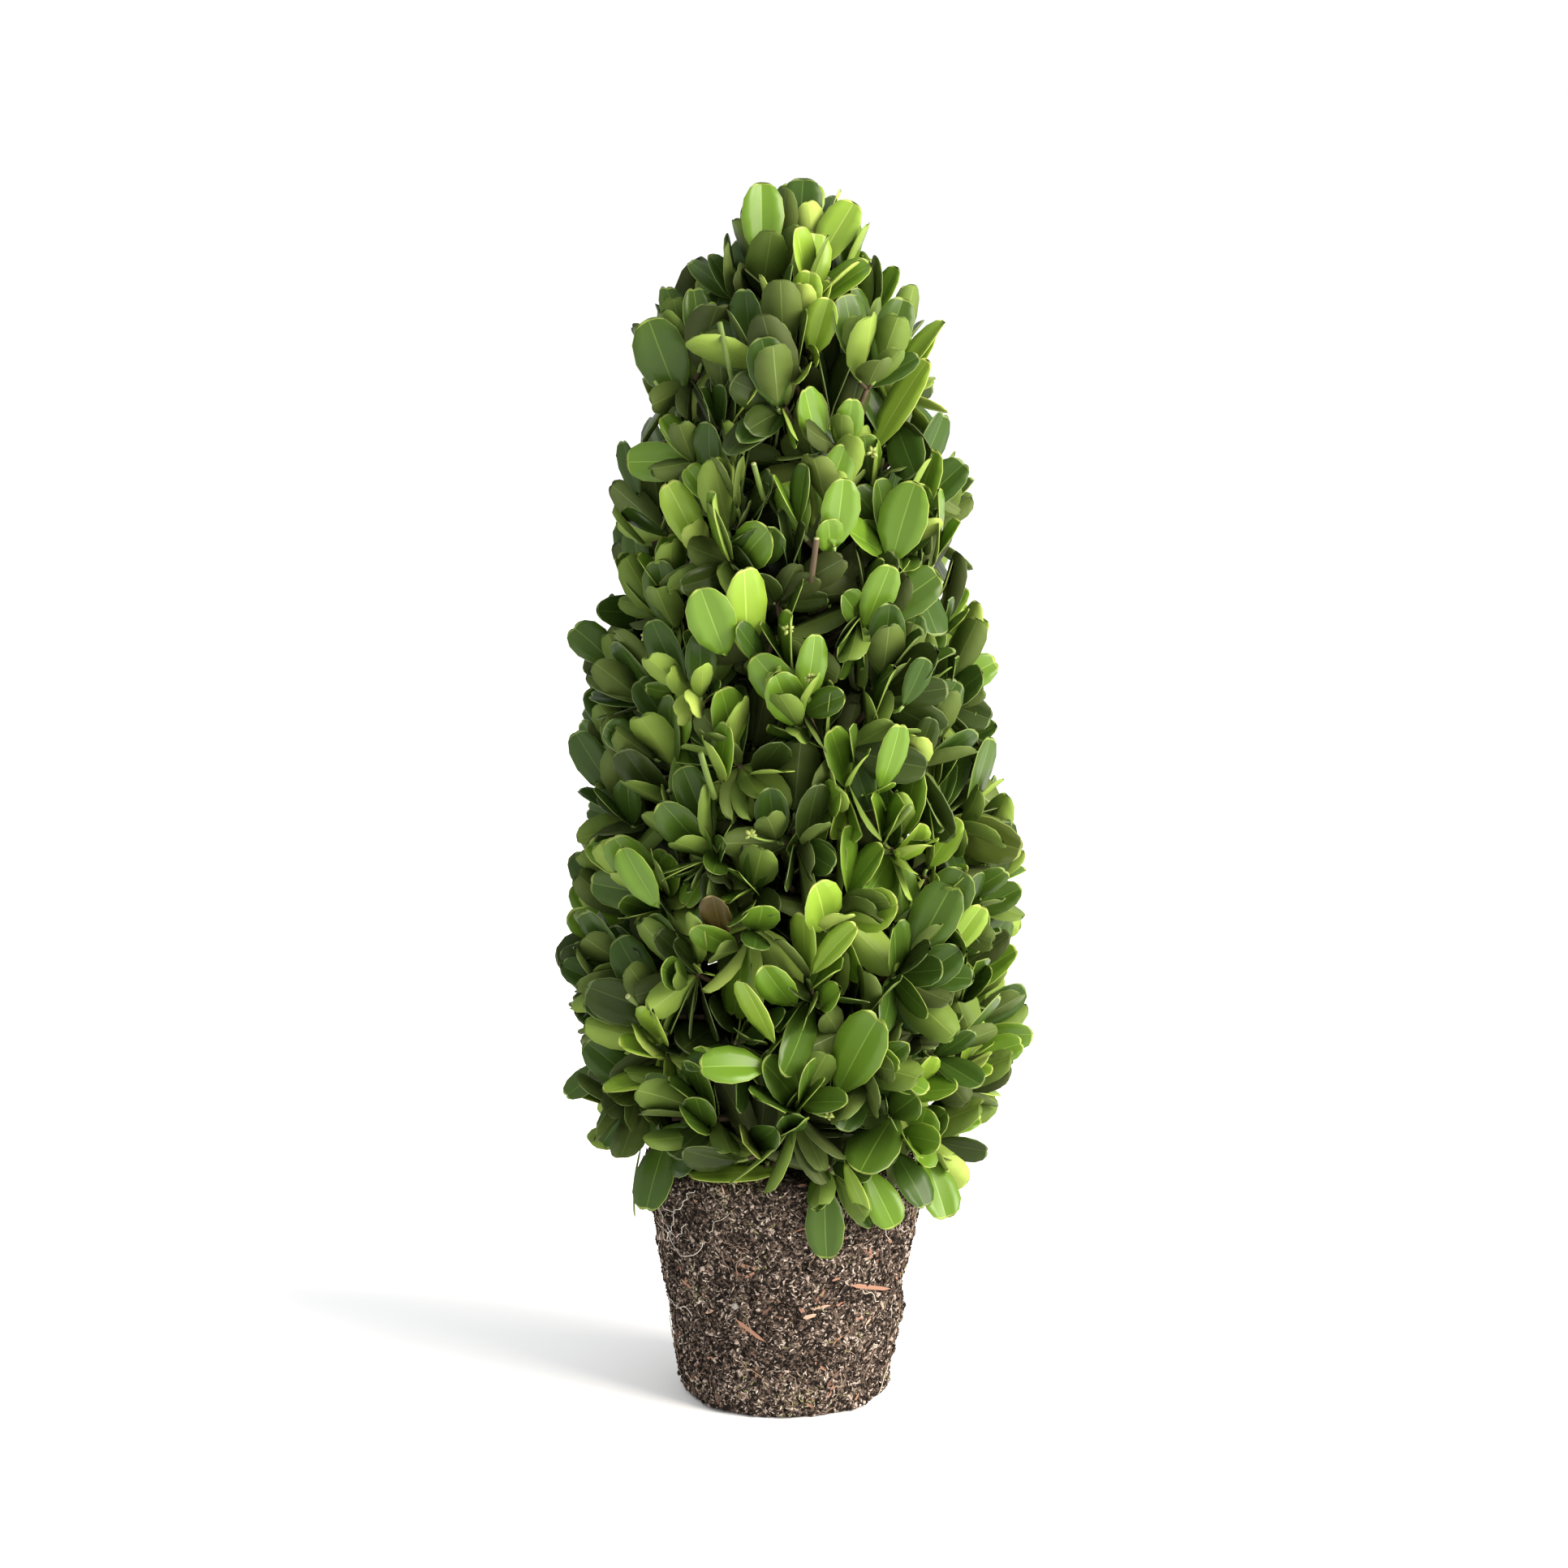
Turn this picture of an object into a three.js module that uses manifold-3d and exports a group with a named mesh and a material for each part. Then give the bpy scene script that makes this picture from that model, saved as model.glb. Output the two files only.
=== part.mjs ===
// A small boxwood clipped to a cone, standing on its own pot-shaped root ball.
//
// Millimetres, +Z up. The origin is the middle of the root ball's flat underside, and the front faces -Y.
//
// The main stem stands on the root ball and runs up inside the crown. Short boughs leave it in six
// tiers, and each bough carries one mass of foliage: a stem, a small dense core, and twigs whose leaves
// stand in crossed pairs. A last mass, the leader, sits on the tip of the main stem.
//
// The crown grows along lines that leave the stem level at the bottom and climb more steeply with height.
// Every point of the crown lies on one such line, so it has a turn about the stem and a growing height.
// Masses share the crown out by those two numbers, and each keeps to its own cell.
import * as THREE from "three";
import { mergeVertices } from "three/addons/utils/BufferGeometryUtils.js";
import Module from "manifold-3d";

const wasm = await Module();
wasm.setup();

// Driving dimensions, in millimetres.
const TOTAL_HEIGHT = 406;
const CLEARANCE = 0.3; // between neighbouring solids

const BALL_HEIGHT = 84;
const BALL_TOP_RADIUS = 47;
const BALL_BASE_RADIUS = 34.5;
const BALL_EDGE = 4; // rounding of its rims
const BALL_CROWN = 1.5; // how far its upper rim is below its top
const BALL_ROUGHNESS = 1.4; // how far its side wanders
const BALL_SEAT_RADIUS = 16; // flat middle of its top, under the main stem

const CROWN_OFFSET = 2.5; // the main stem and its crown stand this far to the right on the ball
const STEM_RADIUS = 5.5;
const STEM_TIP_RADIUS = 2.2;
const STEM_FLARE = 5; // extra radius of the root flare at the soil
const STEM_FLARE_HEIGHT = 9;
const STEM_TOP = 318;
const STEM_LEAN = new THREE.Vector2(3.5, -2.5); // how far its tip stands off its foot

const BOUGH_RADIUS = 2.5;
const BOUGH_TIP_RADIUS = 1.6;
const BOUGH_DROP = 10; // how far below its tip's line a bough leaves the stem
const BOUGH_SHARE = 0.3; // of the way from the axis to the crown's surface

const CORE_PLACE = 0.51; // of the way out to the crown's surface
const CORE_DEPTH = 0.1; // half its depth, as a share of the same
const CORE_HEIGHT = 34; // half, before its cell limits it
const CORE_SPREAD = 1.5; // a core's corners start this much too far out
const CORE_STEP = 0.05; // and are drawn in by this much at a time
const LEADER_STEM = 52; // length of the leader's own stem, above the main stem
const LEADER_TWIGS = [0.35, 0.8]; // shares of that length between which its twigs leave
const LEADER_CORE = new THREE.Vector3(15, 15, 25); // half sizes

const TWIG_RADIUS = 1.3;
const TWIG_TIP_RADIUS = 0.8;
const LEAF_LENGTH = 29;
const LEAF_WIDTH = 18;
const LEAF_THICKNESS = 0.7;
const FIRST_LEAF_SIZE = 0.84; // of the youngest leaves, against the others
const PAIRS = 2; // of leaves on a twig
const PAIR_SPACING = 8;
const OPENING = 26; // degrees between the youngest leaves and their twig
const OPENING_STEP = 14; // more for each older pair
const TIP_REACH = 0.76; // how far leaf tips pass their twig's end, in leaf lengths
const LEAST_LEAVES = 2; // on a twig
const TWIG_FAN = 0.55; // how far twigs' roots spread in their core, from one point to side by side
const ROOT_SINK = 0.12; // a leaf's root is this far from its twig's axis
const FIRST_ROUND = 35; // degrees round the twig from level to the first pair
const STRAY = { round: 12, opening: 7, roll: 14, size: 0.12 }; // degrees, and a share of the size
const SEED = 2;

// The crown's outline, as its radius at a few heights. It is widest low down, and blunt at the top.
const OUTLINE = new THREE.SplineCurve(
  [
    [59, 78],
    [70, 98],
    [73.5, 150],
    [69.5, 205],
    [60, 285],
    [50, 345],
    [42, 369],
    [27, 388],
    [18, 404],
    [0, 411],
  ].map(([radius, height]) => new THREE.Vector2(radius, height)),
);
const LEADER_SHARE = 0.36; // of the outline's run, from the top down
const LEVEL_HEIGHT = 90; // where shoots grow level
const RISE_PER_MM = 0.0068; // how much their slope grows for each millimetre above that

// Tiers of masses, from the soil up: how many stand round the stem, at what height of the crown's
// surface, turned how far from the front, and with how many leaves each.
const TIERS = [
  { name: "skirt", masses: 5, height: 101, turn: 0, leaves: 14 },
  { name: "lower", masses: 5, height: 148, turn: 36, leaves: 14 },
  { name: "middle", masses: 5, height: 197, turn: 0, leaves: 14 },
  { name: "upper", masses: 5, height: 246, turn: 36, leaves: 14 },
  { name: "shoulder", masses: 4, height: 296, turn: 10, leaves: 14 },
  { name: "neck", masses: 3, height: 347, turn: -75, leaves: 15 },
  { name: "leader", masses: 1, height: 398, turn: 0, leaves: 26 },
];
const TIER_SPREAD = 27; // how far above and below its tier's height a mass's shoots may end
const MOST_SHOOTS = 40; // tried in a mass

const MATERIALS = {
  soil: new THREE.MeshStandardMaterial({ color: 0x4a4038, roughness: 0.97, metalness: 0 }),
  bark: new THREE.MeshStandardMaterial({ color: 0x7a6a4c, roughness: 0.85, metalness: 0 }),
  leaf: new THREE.MeshStandardMaterial({ color: 0x4c7428, roughness: 0.45, metalness: 0 }),
};

const UP = new THREE.Vector3(0, 0, 1);
const radians = THREE.MathUtils.degToRad;

// A number from 0 to 1 that is always the same for the same three whole numbers.
function draw(a, b, c) {
  const x = Math.sin(SEED + a * 127.1 + b * 311.7 + c * 74.7) * 43758.5453;
  return x - Math.floor(x);
}

// The same, from -1 to 1.
const sway = (a, b, c) => 2 * draw(a, b, c) - 1;

// ---- where things grow ----

// The crown's radius at a height of its surface.
function crownRadius(height) {
  let low = 0;
  let high = 1;
  for (let halving = 0; halving < 30; halving++) {
    const middle = (low + high) / 2;
    if (OUTLINE.getPoint(middle).y < height) low = middle;
    else high = middle;
  }
  return Math.max(OUTLINE.getPoint(low).x, 0);
}

const slopeAt = (growing) => RISE_PER_MM * (growing - LEVEL_HEIGHT);
const growingHeight = (radius, height) =>
  (height + RISE_PER_MM * LEVEL_HEIGHT * radius) / (1 + RISE_PER_MM * radius);

// A unit vector pointing out from the axis. A turn of 0 is the front, and 90 degrees the right.
const outward = (turn) => new THREE.Vector3(Math.sin(turn), -Math.cos(turn), 0);

// A point on a growing line, some way out from the axis.
function onLine(turn, growing, radius) {
  return outward(turn).multiplyScalar(radius).setZ(growing + slopeAt(growing) * radius);
}

// ---- masses and their cells ----

const massList = TIERS.flatMap((tier, level) =>
  Array.from({ length: tier.masses }, (_, k) => {
    const radius = crownRadius(tier.height);
    return {
      ...tier,
      number: level * 10 + k,
      label: tier.masses > 1 ? `${tier.name}_${k + 1}` : tier.name,
      turn: radians(tier.turn) + (2 * Math.PI * k) / tier.masses,
      radius,
      growing: growingHeight(radius, tier.height),
      isLeader: tier.masses === 1,
    };
  }),
);

const CELL_RADIUS = 60; // turns and growing heights are weighed as distances this far out
const CELL_CLIMB = 1 + RISE_PER_MM * CELL_RADIUS;
const CELL_MARGIN = 1.2; // a mass keeps this far inside its cell
const CORE_MARGIN = 1.8; // and its core this far

// How far a turn and a growing height are from the middle of a mass's cell.
function cellDistance(mass, turn, growing) {
  const climb = CELL_CLIMB * (growing - mass.growing);
  if (mass.isLeader) return Math.abs(climb);
  const apart = Math.atan2(Math.sin(turn - mass.turn), Math.cos(turn - mass.turn));
  return Math.hypot(CELL_RADIUS * apart, climb);
}

// The root ball's radius at a height, before its rims are rounded.
function ballRadius(height) {
  const share = THREE.MathUtils.clamp(height / BALL_HEIGHT, 0, 1);
  return THREE.MathUtils.lerp(BALL_BASE_RADIUS, BALL_TOP_RADIUS, share);
}

// Whether a point is in a mass's own cell, clear of the limbs and of the root ball.
function isInside(mass, point, margin = CELL_MARGIN) {
  const fromBall = Math.hypot(point.x + CROWN_OFFSET, point.y) - ballRadius(point.z);
  if (point.z > TOTAL_HEIGHT || (point.z < BALL_HEIGHT + 1 && fromBall < 2)) return false;
  const radius = Math.hypot(point.x, point.y);
  if (!mass.isLeader && radius < BOUGH_SHARE * mass.radius + 1) return false;
  const turn = Math.atan2(point.x, -point.y);
  const growing = growingHeight(radius, point.z);
  const own = cellDistance(mass, turn, growing);
  return massList.every(
    (other) => other === mass || cellDistance(other, turn, growing) > own + 2 * margin,
  );
}

// ---- shapes ----

// A three.js geometry as a manifold-3d solid.
function solidOf(geometry) {
  const bare = geometry.clone();
  bare.deleteAttribute("normal");
  bare.deleteAttribute("uv");
  const merged = mergeVertices(bare, 1e-4);
  return new wasm.Manifold(
    new wasm.Mesh({
      numProp: 3,
      vertProperties: new Float32Array(merged.attributes.position.array),
      triVerts: new Uint32Array(merged.index.array),
    }),
  );
}

// And back again.
function geometryOf(solid) {
  const mesh = solid.getMesh();
  const geometry = new THREE.BufferGeometry();
  geometry.setAttribute("position", new THREE.BufferAttribute(new Float32Array(mesh.vertProperties), 3));
  geometry.setIndex(new THREE.BufferAttribute(new Uint32Array(mesh.triVerts), 1));
  geometry.computeVertexNormals();
  return geometry;
}

// The largest body of a solid, with any scrap or sealed hollow left out.
function largest(solid) {
  return solid.decompose().reduce((a, b) => (b.volume() > a.volume() ? b : a));
}

// Moves each vertex of a geometry by a function of its place.
function reshape(geometry, move) {
  const position = geometry.attributes.position;
  const point = new THREE.Vector3();
  for (let i = 0; i < position.count; i++) {
    move(point.fromBufferAttribute(position, i));
    position.setXYZ(i, point.x, point.y, point.z);
  }
  return geometry;
}

// A limb through a list of points, with a radius at each: a cylinder whose rings are carried to them.
function limb(points, radii, sides) {
  const steps = points.length - 1;
  const turns = points.map((_, i) => {
    const tangent = points[Math.min(i + 1, steps)].clone().sub(points[Math.max(i - 1, 0)]);
    return new THREE.Quaternion().setFromUnitVectors(UP, tangent.normalize());
  });
  const cylinder = new THREE.CylinderGeometry(1, 1, 1, sides, steps).rotateX(Math.PI / 2);
  return reshape(cylinder, (point) => {
    const ring = Math.round((point.z + 0.5) * steps);
    point.setZ(0).multiplyScalar(radii[ring]).applyQuaternion(turns[ring]).add(points[ring]);
  });
}

// A number for each of a limb's rings, from the first to the last in even steps.
const taper = (first, last, count) =>
  Array.from({ length: count }, (_, i) => THREE.MathUtils.lerp(first, last, i / (count - 1)));

// ---- root ball ----

// Potting mix that still has the shape of the pot it was grown in: a tapered plug with rounded rims, a
// wandering side, a flat underside and a flat seat for the main stem.
function rootBall() {
  const rim = (radius, height, from) =>
    [0, 30, 60, 90].map((angle) => {
      const round = radians(from + angle);
      const inset = radius - BALL_EDGE;
      return new THREE.Vector2(inset + BALL_EDGE * Math.cos(round), height + BALL_EDGE * Math.sin(round));
    });
  const side = [1, 2, 3, 4, 5, 6].map((step) => {
    const height = (BALL_HEIGHT * step) / 7;
    return new THREE.Vector2(ballRadius(height), height);
  });
  const profile = [
    new THREE.Vector2(0, 0),
    ...rim(BALL_BASE_RADIUS, BALL_EDGE, -90),
    ...side,
    ...rim(BALL_TOP_RADIUS, BALL_HEIGHT - BALL_EDGE - BALL_CROWN, 0),
    new THREE.Vector2(BALL_SEAT_RADIUS, BALL_HEIGHT),
    new THREE.Vector2(0, BALL_HEIGHT),
  ];
  const turned = new THREE.LatheGeometry(profile, 26).rotateX(Math.PI / 2);
  return reshape(turned, (point) => {
    const radius = Math.hypot(point.x, point.y);
    if (radius < BALL_SEAT_RADIUS + 1) return;
    const turn = Math.atan2(point.y, point.x);
    const wander =
      Math.sin(3 * turn + point.z / 19) * 0.5 +
      Math.sin(7 * turn - point.z / 11) * 0.3 +
      Math.sin(13 * turn + point.z / 6) * 0.2;
    const scale = 1 + (BALL_ROUGHNESS * wander) / radius;
    point.x *= scale;
    point.y *= scale;
  });
}

// ---- main stem and boughs ----

// The main stem's axis, from the soil to its tip: it leans, and bows a little on the way.
const stemAxis = new THREE.QuadraticBezierCurve3(
  new THREE.Vector3(0, 0, BALL_HEIGHT),
  new THREE.Vector3(-STEM_LEAN.x * 0.6, -STEM_LEAN.y * 0.4, (BALL_HEIGHT + STEM_TOP) / 2),
  new THREE.Vector3(STEM_LEAN.x, STEM_LEAN.y, STEM_TOP),
);

// Where the stem's axis is at a height.
function stemPoint(height) {
  const share = (height - BALL_HEIGHT) / (STEM_TOP - BALL_HEIGHT);
  return stemAxis.getPoint(THREE.MathUtils.clamp(share, 0, 1));
}

// The main stem, or the space it needs where grown is the clearance round it. Its foot is cut level.
function mainStem(grown = 0) {
  const points = stemAxis.getPoints(9);
  const radii = taper(STEM_RADIUS, STEM_TIP_RADIUS, points.length).map((radius, i) => {
    const flare = STEM_FLARE * Math.exp((BALL_HEIGHT - points[i].z) / STEM_FLARE_HEIGHT);
    return radius + flare + grown;
  });
  return reshape(limb(points, radii, 8), (point) => {
    if (point.z < BALL_HEIGHT + 3) point.z = BALL_HEIGHT - grown;
  });
}

const stemSpace = solidOf(mainStem(CLEARANCE));

// A bough's axis: it leaves the main stem low and turns up on to its mass's growing line.
function boughAxis(mass) {
  const end = onLine(mass.turn, mass.growing, BOUGH_SHARE * mass.radius);
  const start = stemPoint(mass.growing - BOUGH_DROP);
  const knee = start.clone().lerp(end, 0.55).addScaledVector(UP, -0.2 * BOUGH_DROP);
  return new THREE.QuadraticBezierCurve3(start, knee, end);
}

// A bough, cut clear of the main stem.
function bough(mass) {
  const points = boughAxis(mass).getPoints(2);
  const whole = solidOf(limb(points, taper(BOUGH_RADIUS, BOUGH_TIP_RADIUS, 3), 5));
  return geometryOf(largest(whole.subtract(stemSpace)));
}

// ---- foliage ----

// The points of a mass's own stem, from just clear of its bough's tip, or the main stem's, to its middle.
function massStem(mass) {
  const below = mass.isLeader ? stemAxis : boughAxis(mass);
  const heading = below.getTangent(1);
  const foot = below.getPoint(1).addScaledVector(heading, CLEARANCE);
  const end = mass.isLeader
    ? foot.clone().addScaledVector(UP, LEADER_STEM)
    : onLine(mass.turn, mass.growing, CORE_PLACE * mass.radius);
  return [foot, foot.clone().addScaledVector(heading, 0.4 * foot.distanceTo(end)), end];
}

// A leaf of eight faces: an octahedron drawn out to a root, a tip, two sides and a ridge on each face.
// It lies along x with its upper side up and its root at the origin.
function leafBlade() {
  return reshape(new THREE.OctahedronGeometry(1, 0), (point) => {
    const { x, y, z } = point;
    if (x > 0.5) point.set(LEAF_LENGTH, 0, -0.04 * LEAF_LENGTH);
    else if (x < -0.5) point.set(0, 0, 0);
    else if (Math.abs(y) > 0.5) point.set(0.6 * LEAF_LENGTH, (y * LEAF_WIDTH) / 2, 0.06 * LEAF_WIDTH);
    else point.set(0.45 * LEAF_LENGTH, 0, (z * LEAF_THICKNESS) / 2);
  });
}

// Where one shoot of a mass starts in its core, and the point of the crown's surface it makes for. The
// surface points spread evenly over the mass's share, and more of them fill the gaps between the first.
function shootLine(mass, index) {
  const along = (0.5 + (index + 1) * 0.7548776662) % 1;
  const up = (0.5 + (index + 1) * 0.569840291) % 1;
  if (mass.isLeader) {
    const [foot, , top] = massStem(mass);
    const root = foot.clone().lerp(top, THREE.MathUtils.lerp(...LEADER_TWIGS, draw(mass.number, index, 3)));
    const edge = OUTLINE.getPoint(1 - LEADER_SHARE * Math.sqrt(up));
    return { root, surface: outward(2 * Math.PI * along).multiplyScalar(edge.x).setZ(edge.y) };
  }
  const turn = mass.turn + ((2 * along - 1) * Math.PI) / mass.masses;
  const height = mass.height + TIER_SPREAD * (2 * up - 1);
  const radius = crownRadius(height);
  const growing = growingHeight(radius, height);
  const root = onLine(mass.turn, mass.growing, CORE_PLACE * mass.radius);
  root.lerp(onLine(turn, growing, CORE_PLACE * radius), TWIG_FAN);
  return { root, surface: onLine(turn, growing, radius) };
}

// A shoot: the two ends of its twig, and the places of its leaves in crossed pairs, youngest first.
function shoot(mass, index) {
  const { root, surface } = shootLine(mass, index);
  const direction = surface.clone().sub(root).normalize();
  const end = surface.addScaledVector(direction, -TIP_REACH * LEAF_LENGTH);
  const side = new THREE.Vector3().crossVectors(direction, UP).normalize();
  const leaves = Array.from({ length: 2 * PAIRS }, (_, place) => {
    const pair = Math.floor(place / 2);
    const chance = (k) => sway(mass.number * 40 + index, place, k);
    const opening = radians(OPENING + OPENING_STEP * pair + STRAY.opening * chance(5));
    const round = radians(FIRST_ROUND + 90 * pair + 180 * place + STRAY.round * chance(4));
    const out = side.clone().applyAxisAngle(direction, round);
    const tilted = (forward, sideways) =>
      direction.clone().multiplyScalar(forward).addScaledVector(out, sideways);
    const along = tilted(Math.cos(opening), Math.sin(opening));
    const upper = tilted(Math.sin(opening), -Math.cos(opening));
    upper.applyAxisAngle(along, radians(STRAY.roll) * chance(6));
    const size = (pair ? 1 : FIRST_LEAF_SIZE) * (1 + STRAY.size * chance(7));
    const node = end.clone().addScaledVector(direction, -1 - PAIR_SPACING * pair);
    return { root: node.addScaledVector(out, ROOT_SINK), along, upper, size };
  });
  return { twig: [root, end], leaves };
}

// The matrix that carries leafBlade to a leaf's place, with its root sunk in the twig.
function leafFrame({ root, along, upper, size }) {
  const across = new THREE.Vector3().crossVectors(upper, along);
  const frame = new THREE.Matrix4().makeBasis(along, across, upper).setPosition(root);
  return frame.scale(new THREE.Vector3(size, size, size));
}

// Points along a leaf's outline and midline, to test where it reaches.
const LEAF_MARKS = [
  [0.3, 0.25],
  [0.3, -0.25],
  [0.6, 0.5],
  [0.6, -0.5],
  [0.8, 0.25],
  [0.8, -0.25],
  [1, 0],
].map(([along, across]) => new THREE.Vector3(along * LEAF_LENGTH, across * LEAF_WIDTH, 0));

// The dense middle of a mass, that its twigs and leaves stand out of: a lump of twenty faces whose
// corners are drawn in until they are well inside the mass's cell.
function core(mass) {
  const middle = stemPoint(STEM_TOP).addScaledVector(UP, CLEARANCE + 1.15 * LEADER_CORE.z);
  const corner = (direction, spread) => {
    if (mass.isLeader) return direction.clone().multiply(LEADER_CORE).add(middle);
    const turn = mass.turn + (spread * direction.y * Math.PI) / mass.masses;
    const growing = mass.growing + CORE_HEIGHT * spread * direction.z;
    return onLine(turn, growing, mass.radius * (CORE_PLACE + CORE_DEPTH * direction.x));
  };
  return reshape(new THREE.IcosahedronGeometry(1, 0), (point) => {
    const direction = point.clone();
    let spread = CORE_SPREAD;
    while (spread > CORE_STEP && !isInside(mass, corner(direction, spread), CORE_MARGIN)) spread -= CORE_STEP;
    point.copy(corner(direction, spread));
  });
}

// One mass: its stem, core, twigs and leaves fused into one body. A leaf that would cross another is
// left out, and so is a twig left with hardly any.
function foliage(mass) {
  const stem = limb(massStem(mass), taper(BOUGH_TIP_RADIUS, 1, 3), 4);
  const pieces = [solidOf(stem), solidOf(core(mass))];
  const placed = [];
  for (let index = 0; index < MOST_SHOOTS && placed.length < mass.leaves; index++) {
    const { twig, leaves } = shoot(mass, index);
    if (!twig.every((point) => isInside(mass, point))) continue;
    const fitting = leaves
      .map(leafFrame)
      .filter((frame) => LEAF_MARKS.every((mark) => isInside(mass, mark.clone().applyMatrix4(frame))))
      .map((frame) => solidOf(leafBlade().applyMatrix4(frame)))
      .filter((blade) => placed.every((other) => blade.intersect(other).isEmpty()));
    if (fitting.length < LEAST_LEAVES) continue;
    pieces.push(solidOf(limb(twig, [TWIG_RADIUS, TWIG_TIP_RADIUS], 3)));
    placed.push(...fitting);
  }
  return geometryOf(largest(wasm.Manifold.union([...pieces, ...placed]).simplify(0.02)));
}

// ---- assembly ----

function named(name, geometry, material) {
  const mesh = new THREE.Mesh(geometry, material);
  mesh.name = name;
  return mesh;
}

const crown = new THREE.Group();
crown.position.x = CROWN_OFFSET;
crown.add(named("main_stem", mainStem(), MATERIALS.bark));
for (const mass of massList) {
  if (!mass.isLeader) crown.add(named(`bough_${mass.label}`, bough(mass), MATERIALS.bark));
  crown.add(named(`foliage_${mass.label}`, foliage(mass), MATERIALS.leaf));
}

const topiary = new THREE.Group();
topiary.add(named("root_ball", rootBall(), MATERIALS.soil), crown);

export default topiary;
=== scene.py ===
"""A small boxwood clipped to a cone, standing on its bare, pot-shaped root ball.

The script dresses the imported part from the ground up: root ball, what lies in its surface, main stem,
boughs, twigs, leaves, and the buds and cut ends among them. The crown grows by the same rule as the
part's own source, carried on to leaves of natural size. Lengths are in millimetres until a mesh is made.
"""
import itertools
import math

import bpy
import numpy as np
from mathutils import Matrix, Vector


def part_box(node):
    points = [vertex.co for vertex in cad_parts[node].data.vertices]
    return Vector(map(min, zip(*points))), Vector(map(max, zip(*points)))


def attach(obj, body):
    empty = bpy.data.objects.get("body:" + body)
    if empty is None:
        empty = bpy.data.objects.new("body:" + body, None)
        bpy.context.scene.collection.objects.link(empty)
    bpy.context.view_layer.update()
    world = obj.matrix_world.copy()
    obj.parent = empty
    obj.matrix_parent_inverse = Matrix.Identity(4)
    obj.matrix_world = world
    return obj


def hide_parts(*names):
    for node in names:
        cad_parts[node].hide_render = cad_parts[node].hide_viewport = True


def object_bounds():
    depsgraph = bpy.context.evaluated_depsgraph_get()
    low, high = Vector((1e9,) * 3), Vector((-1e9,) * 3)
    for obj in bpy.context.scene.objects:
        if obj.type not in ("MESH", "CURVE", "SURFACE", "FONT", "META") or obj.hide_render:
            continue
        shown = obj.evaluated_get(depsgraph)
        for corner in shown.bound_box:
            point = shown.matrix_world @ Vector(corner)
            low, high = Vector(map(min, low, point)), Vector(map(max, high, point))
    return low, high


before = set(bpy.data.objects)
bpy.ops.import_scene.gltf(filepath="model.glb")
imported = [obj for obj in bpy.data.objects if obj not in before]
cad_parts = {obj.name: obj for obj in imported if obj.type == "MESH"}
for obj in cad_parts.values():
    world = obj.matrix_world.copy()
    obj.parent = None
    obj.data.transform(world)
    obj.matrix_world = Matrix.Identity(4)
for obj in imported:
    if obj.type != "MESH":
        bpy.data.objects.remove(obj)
cad_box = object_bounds()


# ---- Root ball ----
# Peat and composted bark held together by fine roots, lifted out of the nursery pot whole. It keeps the
# pot's taper, its side is crumbly, and its underside is flat.

MM = 0.001  # metres in a millimetre

BALL_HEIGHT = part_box("root_ball")[1][2] / MM
BALL_TOP_RADIUS = 47.0
BALL_BASE_RADIUS = 34.5
BALL_EDGE = 4.0  # rounding of its rims
BALL_CROWN = 1.5  # its upper rim is this far below its top
BALL_SEAT_RADIUS = 16.0  # of the level middle of its top, where the stem stands
BALL_TURNS = 500  # grid steps round it, about 0.6 mm each
SIDE_RUNS = (0.19, 0.76)  # where its side starts and ends on the run along its profile
# Widths of what stands out of the surface or lies in it, and how far out or in each goes.
LUMP, CLOD, CRUMB, GRAIN, PIT = (13, 2.6), (5, 1.4), (2.4, 1.0), (1.2, 1.0), (3.6, 7)
PIT_LEVEL = 0.68  # only where the pits' noise is above this is there a pit
FOOT_FADE = 1.5  # height over which the relief grows from nothing at the flat underside
TOP_FADE = (4, 8, 0.3)  # it fades from 4 below the top, over 8, but keeps this share
RIM_TURN = 6.0  # below the top, where the relief starts to turn upward
UPWARD_SHARE = 0.6


def lattice_noise(points, size, seed):
    """Numbers from 0 to 1 that vary smoothly in space: each corner of a lattice of cubes of the given
    size has its own number, and inside a cube the eight corners are blended by 3t^2 - 2t^3."""
    cell = np.floor(points / size).astype(np.int64)
    local = points / size - cell
    fade = local * local * (3 - 2 * local)
    total = np.zeros(points.shape[:-1])
    for corner in itertools.product((0, 1), repeat=3):
        x, y, z = np.moveaxis(cell + np.array(corner), -1, 0)
        mixed = (x * 374761393 + y * 668265263 + z * 2147483647 + seed * 1274126177) & 0xFFFFFFFF
        mixed = ((mixed ^ (mixed >> 13)) * 1274126177) & 0xFFFFFFFF
        value = ((mixed ^ (mixed >> 16)) & 0xFFFF) / 0xFFFF
        total += value * np.prod(np.where(corner, fade, 1 - fade), axis=-1)
    return total


def linear(colour):
    """An sRGB hex colour as the linear red, green, blue and alpha that shaders take."""
    parts = [int(colour[i : i + 2], 16) / 255 for i in (1, 3, 5)]
    return [c / 12.92 if c <= 0.04045 else ((c + 0.055) / 1.055) ** 2.4 for c in parts] + [1.0]


def material(name, colour, roughness, **settings):
    """A material with one Principled shader. Its other sockets are set by name, with _ for a space."""
    made = bpy.data.materials.new(name)
    made.use_nodes = True
    shader = made.node_tree.nodes["Principled BSDF"]
    shader.inputs["Base Color"].default_value = linear(colour)
    shader.inputs["Roughness"].default_value = roughness
    for socket, value in settings.items():
        shader.inputs[socket.replace("_", " ")].default_value = value
    return made


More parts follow.
